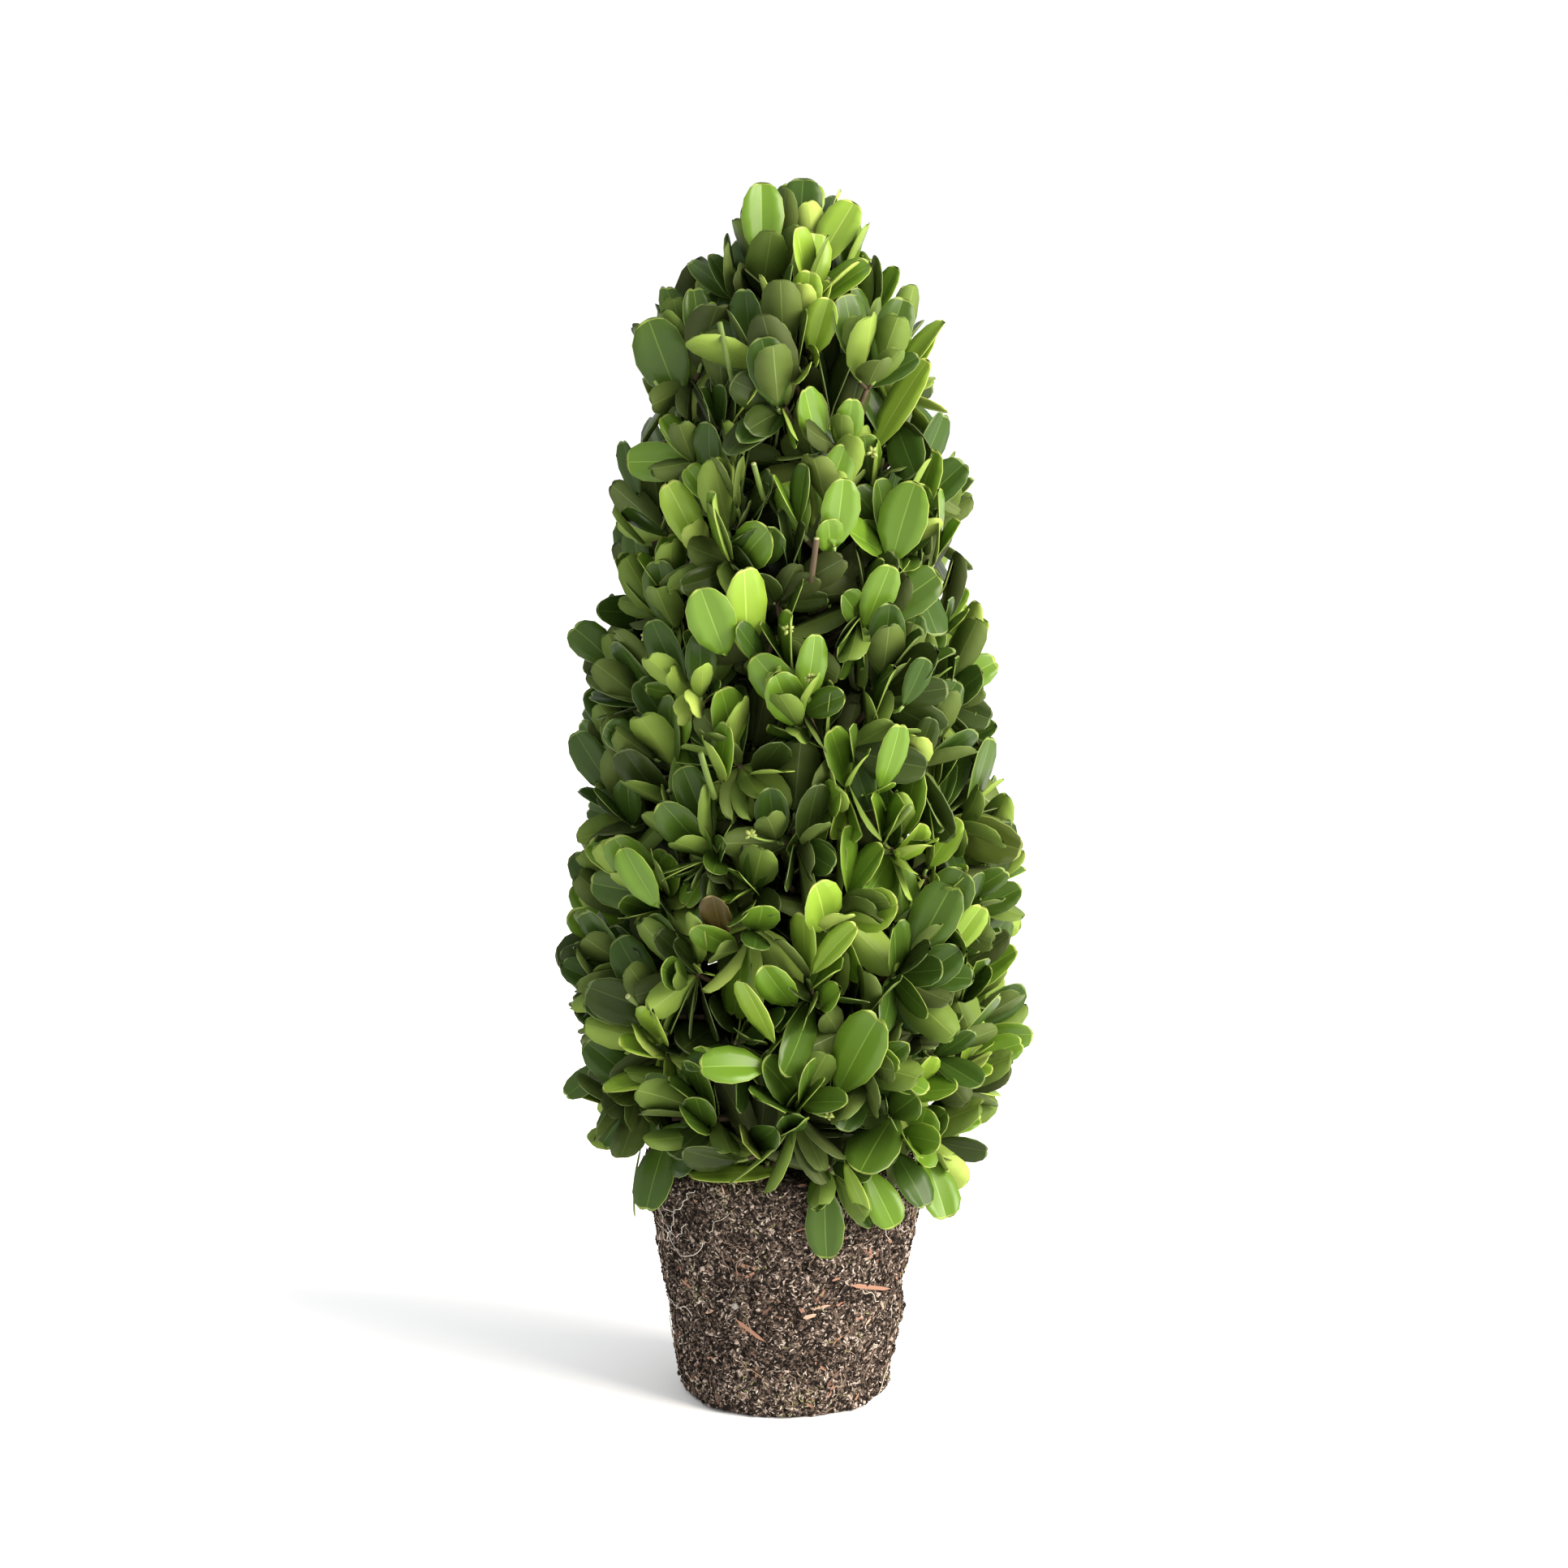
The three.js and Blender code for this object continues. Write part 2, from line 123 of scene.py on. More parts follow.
def add_node(made, kind, links=None, values=None, **settings):
    """Adds a shader node, sets its properties and its sockets' values, and links its inputs."""
    added = made.node_tree.nodes.new(kind)
    for setting, value in settings.items():
        setattr(added, setting, value)
    for socket, value in (values or {}).items():
        added.inputs[socket].default_value = value
    for socket, source in (links or {}).items():
        made.node_tree.links.new(source, added.inputs[socket])
    return added


def build_piece(name, slot, points, faces, materials, indices=None, smooth=True):
    """A mesh of points in millimetres and a list of face arrays, each with a fixed number of corners.
    Each face takes the material that its index gives. The piece rides on the body, unless it has no
    slot, as the floor has none."""
    mesh = bpy.data.meshes.new(name)
    points = np.asarray(points, np.float64).reshape(-1, 3) * MM
    mesh.vertices.add(len(points))
    mesh.vertices.foreach_set("co", points.astype(np.float32).ravel())
    counts = np.concatenate([np.full(len(group), group.shape[1]) for group in faces])
    corners = np.concatenate([group.ravel() for group in faces])
    mesh.loops.add(len(corners))
    mesh.loops.foreach_set("vertex_index", corners.astype(np.int32))
    mesh.polygons.add(len(counts))
    mesh.polygons.foreach_set("loop_start", (np.cumsum(counts) - counts).astype(np.int32))
    mesh.polygons.foreach_set("loop_total", counts.astype(np.int32))
    if indices is not None:
        mesh.polygons.foreach_set("material_index", indices.astype(np.int32))
    mesh.polygons.foreach_set("use_smooth", np.full(len(counts), smooth))
    for used in materials:
        mesh.materials.append(used)
    mesh.update(calc_edges=True)
    mesh.validate()
    piece = bpy.data.objects.new(name, mesh)
    bpy.context.scene.collection.objects.link(piece)
    if slot:
        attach(piece, "root")
    return piece


def ball_profile(run):
    """Radius and height of the ball's outline at each run from 0, the middle of the underside, to 1, the
    middle of the top: flat, round the lower rim, up the straight side, round the upper rim, and in."""
    rim = np.radians(np.linspace(0, 90, 9))
    lower = np.stack([np.sin(rim), 1 - np.cos(rim)], -1) * BALL_EDGE + [BALL_BASE_RADIUS - BALL_EDGE, 0]
    upper = np.stack([np.cos(rim), np.sin(rim)], -1) * BALL_EDGE
    upper += [BALL_TOP_RADIUS - BALL_EDGE, BALL_HEIGHT - BALL_EDGE - BALL_CROWN]
    level_top = [[BALL_SEAT_RADIUS, BALL_HEIGHT], [0, BALL_HEIGHT]]
    outline = np.concatenate([[[0, 0]], lower, upper, level_top])
    length = np.concatenate([[0], np.cumsum(np.linalg.norm(np.diff(outline, axis=0), axis=1))])
    return [np.interp(run * length[-1], length, outline[:, k]) for k in (0, 1)]


def ball_point(turn, run):
    """A point of the ball: its outline turned about the axis, plus its relief times the way out. The
    relief is the sum of four noises less the pits; the way out turns upward on top."""
    radius, height = ball_profile(run)
    across = np.stack([np.sin(turn), -np.cos(turn), np.zeros_like(turn)], -1)
    point = across * radius[..., None] + np.array([0, 0, 1]) * height[..., None]
    lumps, clods, crumbs, grains, pits = (
        lattice_noise(point, width, seed)
        for seed, (width, _) in enumerate((LUMP, CLOD, CRUMB, GRAIN, PIT), start=1)
    )
    relief = LUMP[1] * (lumps - 0.5) + CLOD[1] * (clods - 0.5)
    relief = relief + CRUMB[1] * (np.abs(crumbs - 0.5) * 2 - 0.5) + GRAIN[1] * (grains - 0.5)
    relief = relief - PIT[1] * np.clip(pits - PIT_LEVEL, 0, 1)
    top_start, top_run, top_share = TOP_FADE
    relief *= np.clip(height / FOOT_FADE, 0, 1)
    relief *= np.clip((BALL_HEIGHT + top_start - height) / top_run, top_share, 1)
    lean = np.clip((height - BALL_HEIGHT + RIM_TURN) / RIM_TURN, 0, 1)[..., None]
    return point + relief[..., None] * (across * (1 - lean) + np.array([0, 0, UPWARD_SHARE]) * lean)


ball_runs = np.concatenate([
    np.linspace(0.01, SIDE_RUNS[0], 12, endpoint=False), np.linspace(*SIDE_RUNS, 150, endpoint=False),
    np.linspace(SIDE_RUNS[1], 0.99, 25),
])
ball_rings = len(ball_runs)
turn, run = np.meshgrid(np.linspace(0, 2 * np.pi, BALL_TURNS, endpoint=False), ball_runs)
ball_points = ball_point(turn, run)
poles = np.array([[0, 0, 0], [0, 0, BALL_HEIGHT]])
ring, step = np.indices((ball_rings - 1, BALL_TURNS))
here, beside = ring * BALL_TURNS + step, ring * BALL_TURNS + (step + 1) % BALL_TURNS
ball_quads = np.stack([here, beside, beside + BALL_TURNS, here + BALL_TURNS], -1).reshape(-1, 4)
first, last = step[0], step[0] + (ball_rings - 1) * BALL_TURNS
low_pole, high_pole = ball_rings * BALL_TURNS, ball_rings * BALL_TURNS + 1
ball_caps = np.concatenate([
    np.stack([np.full(BALL_TURNS, low_pole), np.roll(first, -1), first], -1),
    np.stack([np.full(BALL_TURNS, high_pole), last, np.roll(last, -1)], -1),
])

# Potting mix, dry on the outside: matt, dark peat with paler grains and fibres about a millimetre
# across. Each colour of the ramp stands at a level of the grain's noise.
GRAIN_WIDTH, FLECK_WIDTH, FLECK_DEPTH = 1.6, 1.1, 0.4
PEAT_RAMP = [(0.4, "#0e0b09"), (0.5, "#2f2722"), (0.58, "#625449"), (0.68, "#a09184")]
PEAT_ROUGHNESS, PEAT_SHINE = 0.97, 0.15
potting_mix = material("potting mix", "#3a302a", PEAT_ROUGHNESS, Specular_IOR_Level=PEAT_SHINE)
place = add_node(potting_mix, "ShaderNodeTexCoord").outputs["Object"]
grain = add_node(potting_mix, "ShaderNodeTexNoise", {"Vector": place},
                 {"Scale": 1 / (GRAIN_WIDTH * MM), "Detail": 4.0, "Roughness": 0.65})
fleck = add_node(potting_mix, "ShaderNodeTexVoronoi", {"Vector": place},
                 {"Scale": 1 / (FLECK_WIDTH * MM)})
tint = add_node(potting_mix, "ShaderNodeValToRGB", {"Fac": grain.outputs["Fac"]})
for stop, (position, colour) in enumerate(PEAT_RAMP):
    point = tint.color_ramp.elements[stop] if stop < 2 else tint.color_ramp.elements.new(position)
    point.position = position
    point.color = linear(colour)
bump = add_node(potting_mix, "ShaderNodeBump", {"Height": fleck.outputs["Distance"]},
                {"Strength": 0.6, "Distance": FLECK_DEPTH * MM})
potting_shader = potting_mix.node_tree.nodes["Principled BSDF"]
potting_mix.node_tree.links.new(tint.outputs["Color"], potting_shader.inputs["Base Color"])
potting_mix.node_tree.links.new(bump.outputs["Normal"], potting_shader.inputs["Normal"])

ball_piece = build_piece("potting_mix", "soil", np.concatenate([ball_points.reshape(-1, 3), poles]),
                         [ball_quads, ball_caps], [potting_mix])
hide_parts("root_ball")


# ---- Crumbs, bark, perlite and roots in the ball's surface ----
# Loose crumbs of peat, splinters of composted bark, a few bits of grey perlite and fine pale roots. Each
# lies half sunk in the surface, held by the mix round it.

CRUMBS = 2600
PEAT_BITS = 40000
BIT_PATCH = 7.0  # width of the patches where the peat is drier or moister
PATCH_STRENGTH = 0.5
SPLINTERS = 240
PERLITE_BITS = 8
ROOTS, PALE_ROOTS = 120, 14
ROOT_RADIUS, ROOT_POINTS, ROOT_SIDES = 0.11, 7, 4
ROOT_LIFT, ROOT_ARCH = 0.4, 0.5  # off the surface at a root's ends, and by how much more in its middle
LEAST_BIT_HEIGHT, LEAST_ROOT_HEIGHT = 0.02, 0.4
LEAST_SIZE, SIZE_RANGE = 0.55, 0.9  # of crumbs and bits, as shares of their kind's size
BALL_TAPER = 0.149  # growth of its radius for each millimetre up its side
SIDE_SEATS = (0.205, 0.545)  # they lie from here on the run along the ball's profile, over this much
SIDE_LEAN = -0.15  # the side looks down a little, as the ball widens upwards
SEED = 2.0
# Each kind draws its random numbers from a place of its own.
CRUMB_KIND, BIT_KIND, SPLINTER_KIND, PERLITE_KIND, ROOT_KIND, PALE_ROOT_KIND = 20, 40, 60, 90, 120, 150


def draw(a, b, c):
    """Numbers from 0 to 1, the same each time for the same three numbers, as in the part's source. The
    last one only keeps one use apart from the others."""
    x = np.sin(SEED + a * 127.1 + b * 311.7 + c * 74.7) * 43758.5453
    return x - np.floor(x)


def sway(a, b, c):
    """The same, from -1 to 1."""
    return 2 * draw(a, b, c) - 1


def unit(vectors):
    """Vectors scaled to length one."""
    return vectors / np.linalg.norm(vectors, axis=-1, keepdims=True)


def seats(count, kind):
    """Places on the ball's side and rims, with three directions each: out of the surface, and two
    along it that are turned at random."""
    index = np.arange(count)
    turn = 2 * np.pi * draw(index, kind, 1)
    run = SIDE_SEATS[0] + SIDE_SEATS[1] * draw(index, kind, 2)
    point = ball_point(turn, run)
    outward = unit(np.stack([np.sin(turn), -np.cos(turn), np.full(count, SIDE_LEAN)], -1))
    level = unit(np.cross(outward, [0, 0, 1]))
    spin = (2 * np.pi * draw(index, kind, 3))[:, None]
    along = level * np.cos(spin) + np.cross(outward, level) * np.sin(spin)
    return point, outward, along, np.cross(outward, along)


def repeated(faces, count, corners):
    """The faces of so many copies of one shape, each with as many corners."""
    return (faces + (np.arange(count) * corners)[:, None, None]).reshape(-1, faces.shape[1])


def scattered(shape, faces, count, kind, size, ragged):
    """One small shape, given by its corners from -1 to 1, at each seat: stretched to a length, width and
    height of its own, about the given size, and each corner moved at random so that no two are alike.
    All stay just above the ground."""
    index, corner = np.indices((count, len(shape)))
    moved = shape + ragged * np.stack([sway(index, corner, kind + k) for k in (4, 5, 6)], -1)
    point, up, along, across = seats(count, kind)
    placed = point[:, None]
    for axis, direction in enumerate((along, across, up)):
        extent = size[axis] * (LEAST_SIZE + SIZE_RANGE * draw(np.arange(count), kind, 7 + axis))
        placed = placed + (moved[..., axis] * extent[:, None] / 2)[..., None] * direction[:, None]
    placed[..., 2] = np.maximum(placed[..., 2], LEAST_BIT_HEIGHT)
    return placed, repeated(faces, count, len(shape))


def tones(shares, count, kind, shift=0):
    """Which material each bit has: how many of the rising shares its random number, moved by the
    shift, is past."""
    return np.searchsorted(shares, draw(np.arange(count), kind, 30) + shift)


GOLDEN = (1 + math.sqrt(5)) / 2
ICOSAHEDRON = unit(np.array([
    (x, y * GOLDEN, 0)[k:] + (x, y * GOLDEN, 0)[:k] for k in range(3) for x in (-1, 1) for y in (-1, 1)
], float))


def hull_faces(corners):
    """The triangles of a convex solid, outward: of all triples of corners, those with no corner beyond
    their plane."""
    found = []
    for triple in itertools.combinations(range(len(corners)), 3):
        a, b, c = corners[list(triple)]
        normal = np.cross(b - a, c - a)
        beyond = (corners - a) @ normal
        if beyond.max() < 1e-6:
            found.append(triple)
        elif beyond.min() > -1e-6:
            found.append(triple[::-1])
    return np.array(found)


ICOSAHEDRON_FACES = hull_faces(ICOSAHEDRON)

# Peat breaks into matt crumbs, darker where it is moist, and into short fibres that bleach as they dry.
CRUMB_SIZE, CRUMB_SHARES = (1.7, 1.3, 1.1), [0.45, 0.85]
BIT_SIZE, BIT_SHARES = (2.1, 0.5, 0.9), [0.43, 0.78, 0.98, 1.03]
RAGGED = 0.25  # how far corners stray, of half a crumb's size
PEAT_COLOURS = {
    "dark peat crumb": "#18130f", "peat crumb": "#54473e", "dry peat crumb": "#a09186",
    "bleached peat fibre": "#c4b8a8", "moss green peat fibre": "#7a7854",
}
peat_crumbs = [material(name, colour, PEAT_ROUGHNESS, Specular_IOR_Level=PEAT_SHINE)
               for name, colour in PEAT_COLOURS.items()]
crumb_points, crumb_faces = scattered(
    ICOSAHEDRON, ICOSAHEDRON_FACES, CRUMBS, CRUMB_KIND, CRUMB_SIZE, RAGGED)
crumb_tone = np.repeat(tones(CRUMB_SHARES, CRUMBS, CRUMB_KIND), len(ICOSAHEDRON_FACES))
build_piece("crumbs", "soil", crumb_points, [crumb_faces], peat_crumbs, crumb_tone, False)

PEAT_BIT = np.array([(-1, 0, -0.4), (1, 0, -0.4), (0.2, 1, 0.6), (-0.2, -1, 0.6)], float)
PEAT_BIT_FACES = hull_faces(PEAT_BIT)
bit_points, bit_faces = scattered(PEAT_BIT, PEAT_BIT_FACES, PEAT_BITS, BIT_KIND, BIT_SIZE, RAGGED)
bit_patch = PATCH_STRENGTH * (lattice_noise(seats(PEAT_BITS, BIT_KIND)[0], BIT_PATCH, 6) - 0.5)
bit_tone = np.repeat(tones(BIT_SHARES, PEAT_BITS, BIT_KIND, bit_patch), len(PEAT_BIT_FACES))
build_piece("peat_bits", "soil", bit_points, [bit_faces], peat_crumbs, bit_tone, False)

# Splinters of composted bark and of the wood under it, dull and fibrous.
SPLINTER = np.array([(-1, 0, 0), (-0.6, 1, 0.2), (-0.6, -1, 0.2), (0.5, 0.8, 0.3), (0.6, -0.9, 0.3),
                     (1, 0.1, 0), (-0.5, 0, -1), (0.5, 0, -1)], float)
SPLINTER_FACES = hull_faces(SPLINTER)
SPLINTER_SIZE, SPLINTER_SHARES, SPLINTER_RAGGED = (5.4, 1.1, 0.9), [0.45, 0.75], 0.12
bark_splinters = [
    material("composted bark splinter", "#86614c", 0.8),
    material("dark bark splinter", "#5c4033", 0.85),
    material("pale wood splinter", "#a98a74", 0.8),
]
# Three long splinters lie on the front: x and height of both ends, width, thickness, and how far out.
LONG_SPLINTERS = np.array([
    (20.6, 47.4, 34.6, 41.2, 1.5, 1.1, 1.6),
    (-15.5, 35.8, -5.9, 27.9, 1.4, 1.0, 1.0),
    (6.0, 37.0, 10.4, 38.2, 1.4, 1.0, 0.9),
])
LONG_TONES = (0, 0, 2)
STRAIGHT_RUNS = (0.23, 0.69, 100)  # the runs of the ball's straight side, and how many are tried
splinter_points, _ = scattered(
    SPLINTER, SPLINTER_FACES, SPLINTERS, SPLINTER_KIND, SPLINTER_SIZE, SPLINTER_RAGGED)
splinter_tone = np.concatenate([tones(SPLINTER_SHARES, SPLINTERS, SPLINTER_KIND), LONG_TONES])


def side_point(x, height, out):
    """The point of the ball's front that is x to the right and at a height, and so far out of it. The
    runs are those of its straight side, where the height rises evenly."""
    runs = np.linspace(*STRAIGHT_RUNS)
    run = np.interp(height, ball_profile(runs)[1], runs)
    turn = np.arcsin(x / ball_profile(run)[0])
    return ball_point(turn, run) + out * np.stack([np.sin(turn), -np.cos(turn), 0 * turn], -1)


tail = side_point(LONG_SPLINTERS[:, 0], LONG_SPLINTERS[:, 1], LONG_SPLINTERS[:, 6:])
tip = side_point(LONG_SPLINTERS[:, 2], LONG_SPLINTERS[:, 3], LONG_SPLINTERS[:, 6:])
lengthwise = (tip - tail) / 2
outward = unit((tail + tip) * [1, 1, 0])
crosswise = unit(np.cross(outward, lengthwise))
long_points = ((tail + tip) / 2)[:, None] + SPLINTER[:, :1] * lengthwise[:, None] \
    + SPLINTER[:, 1:2] * (crosswise * LONG_SPLINTERS[:, 4:5] / 2)[:, None] \
    + SPLINTER[:, 2:] * (outward * LONG_SPLINTERS[:, 5:6])[:, None]
splinter_points = np.concatenate([splinter_points, long_points])
splinter_faces = repeated(SPLINTER_FACES, len(splinter_points), len(SPLINTER))
build_piece("bark_splinters", "soil", splinter_points, [splinter_faces], bark_splinters,
            np.repeat(splinter_tone, len(SPLINTER_FACES)), False)

# Perlite, a volcanic glass puffed up by heat: dull grey here, as peat dust sticks to it. One larger bit
# lies on the front.
PERLITE_SIZE, PERLITE_RAGGED = (2.6, 2.2, 2.0), 0.2
LARGE_BIT_PLACE = (np.array([-15.5]), np.array([40.5]), 0.5)
LARGE_BIT_SIZE = np.array([1.5, 1.0, 1.3])
perlite = material("perlite", "#7d7873", 0.9)
perlite_points, perlite_faces = scattered(
    ICOSAHEDRON, ICOSAHEDRON_FACES, PERLITE_BITS, PERLITE_KIND, PERLITE_SIZE, PERLITE_RAGGED)
perlite_points[0] = side_point(*LARGE_BIT_PLACE) + ICOSAHEDRON * LARGE_BIT_SIZE
build_piece("perlite", "soil", perlite_points, [perlite_faces], [perlite], None, False)


def tubes(paths, radii, sides):
    """Closed tubes carried along many paths at once: paths is tubes x points x 3, and radii gives one
    radius at each point. A ring is drawn square to its path at each point, and each end is one flat
    face."""
    count, length = paths.shape[:2]
    tangent = np.empty_like(paths)
    tangent[:, 1:-1] = paths[:, 2:] - paths[:, :-2]
    tangent[:, 0] = paths[:, 1] - paths[:, 0]
    tangent[:, -1] = paths[:, -1] - paths[:, -2]
    tangent = unit(tangent)
    overall = np.abs(unit(paths[:, -1] - paths[:, 0]))
    guide = np.eye(3)[overall.argmin(-1)][:, None]
    side = unit(np.cross(tangent, guide))
    other = np.cross(tangent, side)
    angle = 2 * np.pi * np.arange(sides) / sides
    circle = side[:, :, None] * np.cos(angle)[:, None] + other[:, :, None] * np.sin(angle)[:, None]
    points = paths[:, :, None] + circle * radii[:, :, None, None]
    tube, ring, step = np.indices((count, length - 1, sides))
    first = (tube * length + ring) * sides
    here, beside = first + step, first + (step + 1) % sides
    quads = np.stack([here, beside, beside + sides, here + sides], -1).reshape(-1, 4)
    starts = (np.arange(count) * length * sides)[:, None] + np.arange(sides)
    ends = starts + (length - 1) * sides
    return points, [quads, np.concatenate([starts[:, ::-1], ends])]


def root_paths(count, kind, length, bend):
    """Thin roots that lie along the surface: a straight run from t = -1 to 1, bent sideways by an arc
    and a small wave, and a little further off the surface in the middle. The distance from the axis
    follows the ball's taper."""
    point, up, along, across = seats(count, kind)
    size = length * (0.5 + draw(np.arange(count), kind, 7))
    t = np.linspace(-1, 1, ROOT_POINTS)
    wave = bend * sway(np.arange(count), kind, 8)[:, None] * (1 - t * t) \
        + 0.3 * bend * np.sin(7 * t + 6 * draw(np.arange(count), kind, 9)[:, None])
    lift = ROOT_LIFT + ROOT_ARCH * (1 - t * t) * draw(np.arange(count), kind, 10)[:, None]
    path = point[:, None] + along[:, None] * (t * size[:, None] / 2)[..., None]
    path = path + across[:, None] * wave[..., None] + up[:, None] * lift[..., None]
    off_axis = np.hypot(path[..., 0], path[..., 1])
    climbed = path[..., 2] - point[:, None, 2]
    wanted = np.hypot(point[:, 0], point[:, 1])[:, None] + BALL_TAPER * climbed
    path[..., :2] *= ((wanted + lift) / off_axis)[..., None]
    path[..., 2] = np.maximum(path[..., 2], LEAST_ROOT_HEIGHT)
    return path


# Roots dry to matt tan threads, and a few to paler and longer ones.
for name, count, kind, length, bend, dried in (
    ("fine_roots", ROOTS, ROOT_KIND, 9, 1.6, material("fine root", "#8b7562", 0.85)),
    ("pale_roots", PALE_ROOTS, PALE_ROOT_KIND, 14, 3.0, material("dried pale root", "#cfc5b4", 0.8)),
):
    root_points, root_faces = tubes(
        root_paths(count, kind, length, bend), np.full((count, ROOT_POINTS), ROOT_RADIUS), ROOT_SIDES)
    build_piece(name, "soil", root_points, root_faces, [dried])

# White root hairs have dried on its left, and one on its right, to thin bright threads: turn in degrees
# and height at five points of each.
ROOT_HAIRS = np.array([
    [(-64, 76), (-59, 69), (-50, 70), (-43, 76), (-38, 80)],
    [(-64, 76), (-66, 71), (-62, 64), (-52, 60), (-46, 66)],
    [(-78, 50), (-70, 57), (-62, 58), (-55, 64), (-52, 70)],
    [(-80, 38), (-72, 36), (-63, 34), (-54, 36), (-48, 33)],
    [(-70, 62), (-60, 61), (-52, 54), (-42, 56), (-34, 62)],
    [(62, 60), (56, 66), (50, 72), (47, 76), (45, 80)],
], float)
HAIR_RADIUS, HAIR_POINTS = 0.1, 17
HAIR_LIFT = 1.1  # out of the ball's smooth side
TURN_STRAY, HEIGHT_STRAY = 1.2, 0.7  # degrees and millimetres
hair_run, known_run = np.linspace(0, 1, HAIR_POINTS), np.linspace(0, 1, ROOT_HAIRS.shape[1])
hair_turn, hair_height = (
    np.stack([np.interp(hair_run, known_run, hair[:, k]) for hair in ROOT_HAIRS]) for k in (0, 1)
)
hair_index, hair_step = np.indices(hair_turn.shape)
hair_turn = np.radians(hair_turn + TURN_STRAY * sway(hair_index, hair_step, 170))
hair_height = hair_height + HEIGHT_STRAY * sway(hair_index, hair_step, 171)
hair_radius = HAIR_LIFT + np.interp(
    hair_height, (BALL_EDGE, BALL_HEIGHT), (BALL_BASE_RADIUS, BALL_TOP_RADIUS))
hair_path = hair_radius[..., None] * np.stack([np.sin(hair_turn), -np.cos(hair_turn), 0 * hair_turn], -1)
hair_path[..., 2] = hair_height
root_hair = material("dried white root hair", "#e6e0d6", 0.7)
hair_points, hair_faces = tubes(hair_path, np.full(hair_turn.shape, HAIR_RADIUS), ROOT_SIDES)
build_piece("root_hairs", "soil", hair_points, hair_faces, [root_hair])


# ---- Main stem ----
# The boxwood's own trunk, cut level at the soil, with a small root flare. Its bark is grey-brown and
# cracked lengthwise into thin corky plates.

CROWN_PLACE = np.array([2.5, 0, 0])  # the crown stands this far to the right on its root ball
STEM_RADIUS = 5.5
STEM_TIP_RADIUS = 2.2
STEM_FLARE = 5.0  # how far it widens at the soil
STEM_FLARE_HEIGHT = 9.0
STEM_TOP = 318.0
STEM_LEAN = (3.5, -2.5)  # from foot to tip
STEM_POINTS, STEM_SIDES = 110, 28
STEM_BARK = 0.7  # depth of its cracks
STREAK_WIDTH, STREAK_DRAWN = 2.2, (1, 1, 0.3)  # of its colours
CRACK_WIDTH, CRACK_DRAWN = 1.7, (1, 1, 0.28)  # and how far they are drawn out upwards
PLATE_WIDTH, PLATE_DRAWN, PLATE_SHARE = 3.4, (1, 1, 0.5), 1.6
STEM_CONTROLS = np.array([
    (0, 0, BALL_HEIGHT),
    (-0.6 * STEM_LEAN[0], -0.4 * STEM_LEAN[1], (BALL_HEIGHT + STEM_TOP) / 2),
    (*STEM_LEAN, STEM_TOP),
])


def bezier(controls, t):
    """Points at t along curves of three control points: (1-t)^2 a + 2t(1-t) b + t^2 c."""
    a, b, c = (controls[..., None, k, :] for k in range(3))
    t = np.asarray(t)[..., None]
    return (1 - t) ** 2 * a + 2 * t * (1 - t) * b + t * t * c


def barked(paths, radii, sides, depth, seed):
    """Limbs with their bark: tubes whose points move towards or away from the limb's axis by two noises.
    Both are drawn out upwards, so that the bark cracks lengthwise."""
    points, faces = tubes(paths, radii - depth / 2, sides)
    cracks = lattice_noise(points * CRACK_DRAWN, CRACK_WIDTH, seed) - 0.5
    plates = np.abs(lattice_noise(points * PLATE_DRAWN, PLATE_WIDTH, seed + 1) - 0.5)
    outward = unit(points - paths[:, :, None])
    return points + outward * (depth * (cracks + PLATE_SHARE * plates))[..., None], faces


def bark_material(name, low, high, roughness):
    """Bark in streaks of a darker and a paler colour, mixed by a noise drawn out upwards."""
    made = material(name, low, roughness, Specular_IOR_Level=0.25)
    place = add_node(made, "ShaderNodeTexCoord").outputs["Object"]
    drawn = add_node(made, "ShaderNodeMapping", {"Vector": place}, {"Scale": STREAK_DRAWN})
    noise = add_node(made, "ShaderNodeTexNoise", {"Vector": drawn.outputs["Vector"]},
                     {"Scale": 1 / (STREAK_WIDTH * MM), "Detail": 3.0})
    tint = add_node(made, "ShaderNodeMix", {0: noise.outputs["Fac"]},
                    {6: linear(low), 7: linear(high)}, data_type="RGBA")
    shader = made.node_tree.nodes["Principled BSDF"]
    made.node_tree.links.new(tint.outputs[2], shader.inputs["Base Color"])
    return made


# Boxwood bark, weathered: matt grey-brown, in darker and paler streaks.
boxwood_bark = bark_material("boxwood bark", "#4e4130", "#8a7a5c", 0.85)
stem_run = np.linspace(0, 1, STEM_POINTS)
stem_path = bezier(STEM_CONTROLS[None], stem_run[None]) + CROWN_PLACE
stem_radii = STEM_RADIUS + (STEM_TIP_RADIUS - STEM_RADIUS) * stem_run[None]
stem_radii = stem_radii + STEM_FLARE * np.exp((BALL_HEIGHT - stem_path[..., 2]) / STEM_FLARE_HEIGHT)
stem_points, stem_faces = barked(stem_path, stem_radii, STEM_SIDES, STEM_BARK, 11)
stem_points[:, 0, :, 2] = BALL_HEIGHT
stem_piece = build_piece("stem_bark", "bark", stem_points, stem_faces, [boxwood_bark])
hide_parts("main_stem")


# ---- Boughs ----
# Short side branches that leave the main stem in six tiers and turn up to carry one mass of foliage
# each. They have the same bark, thinner and smoother.

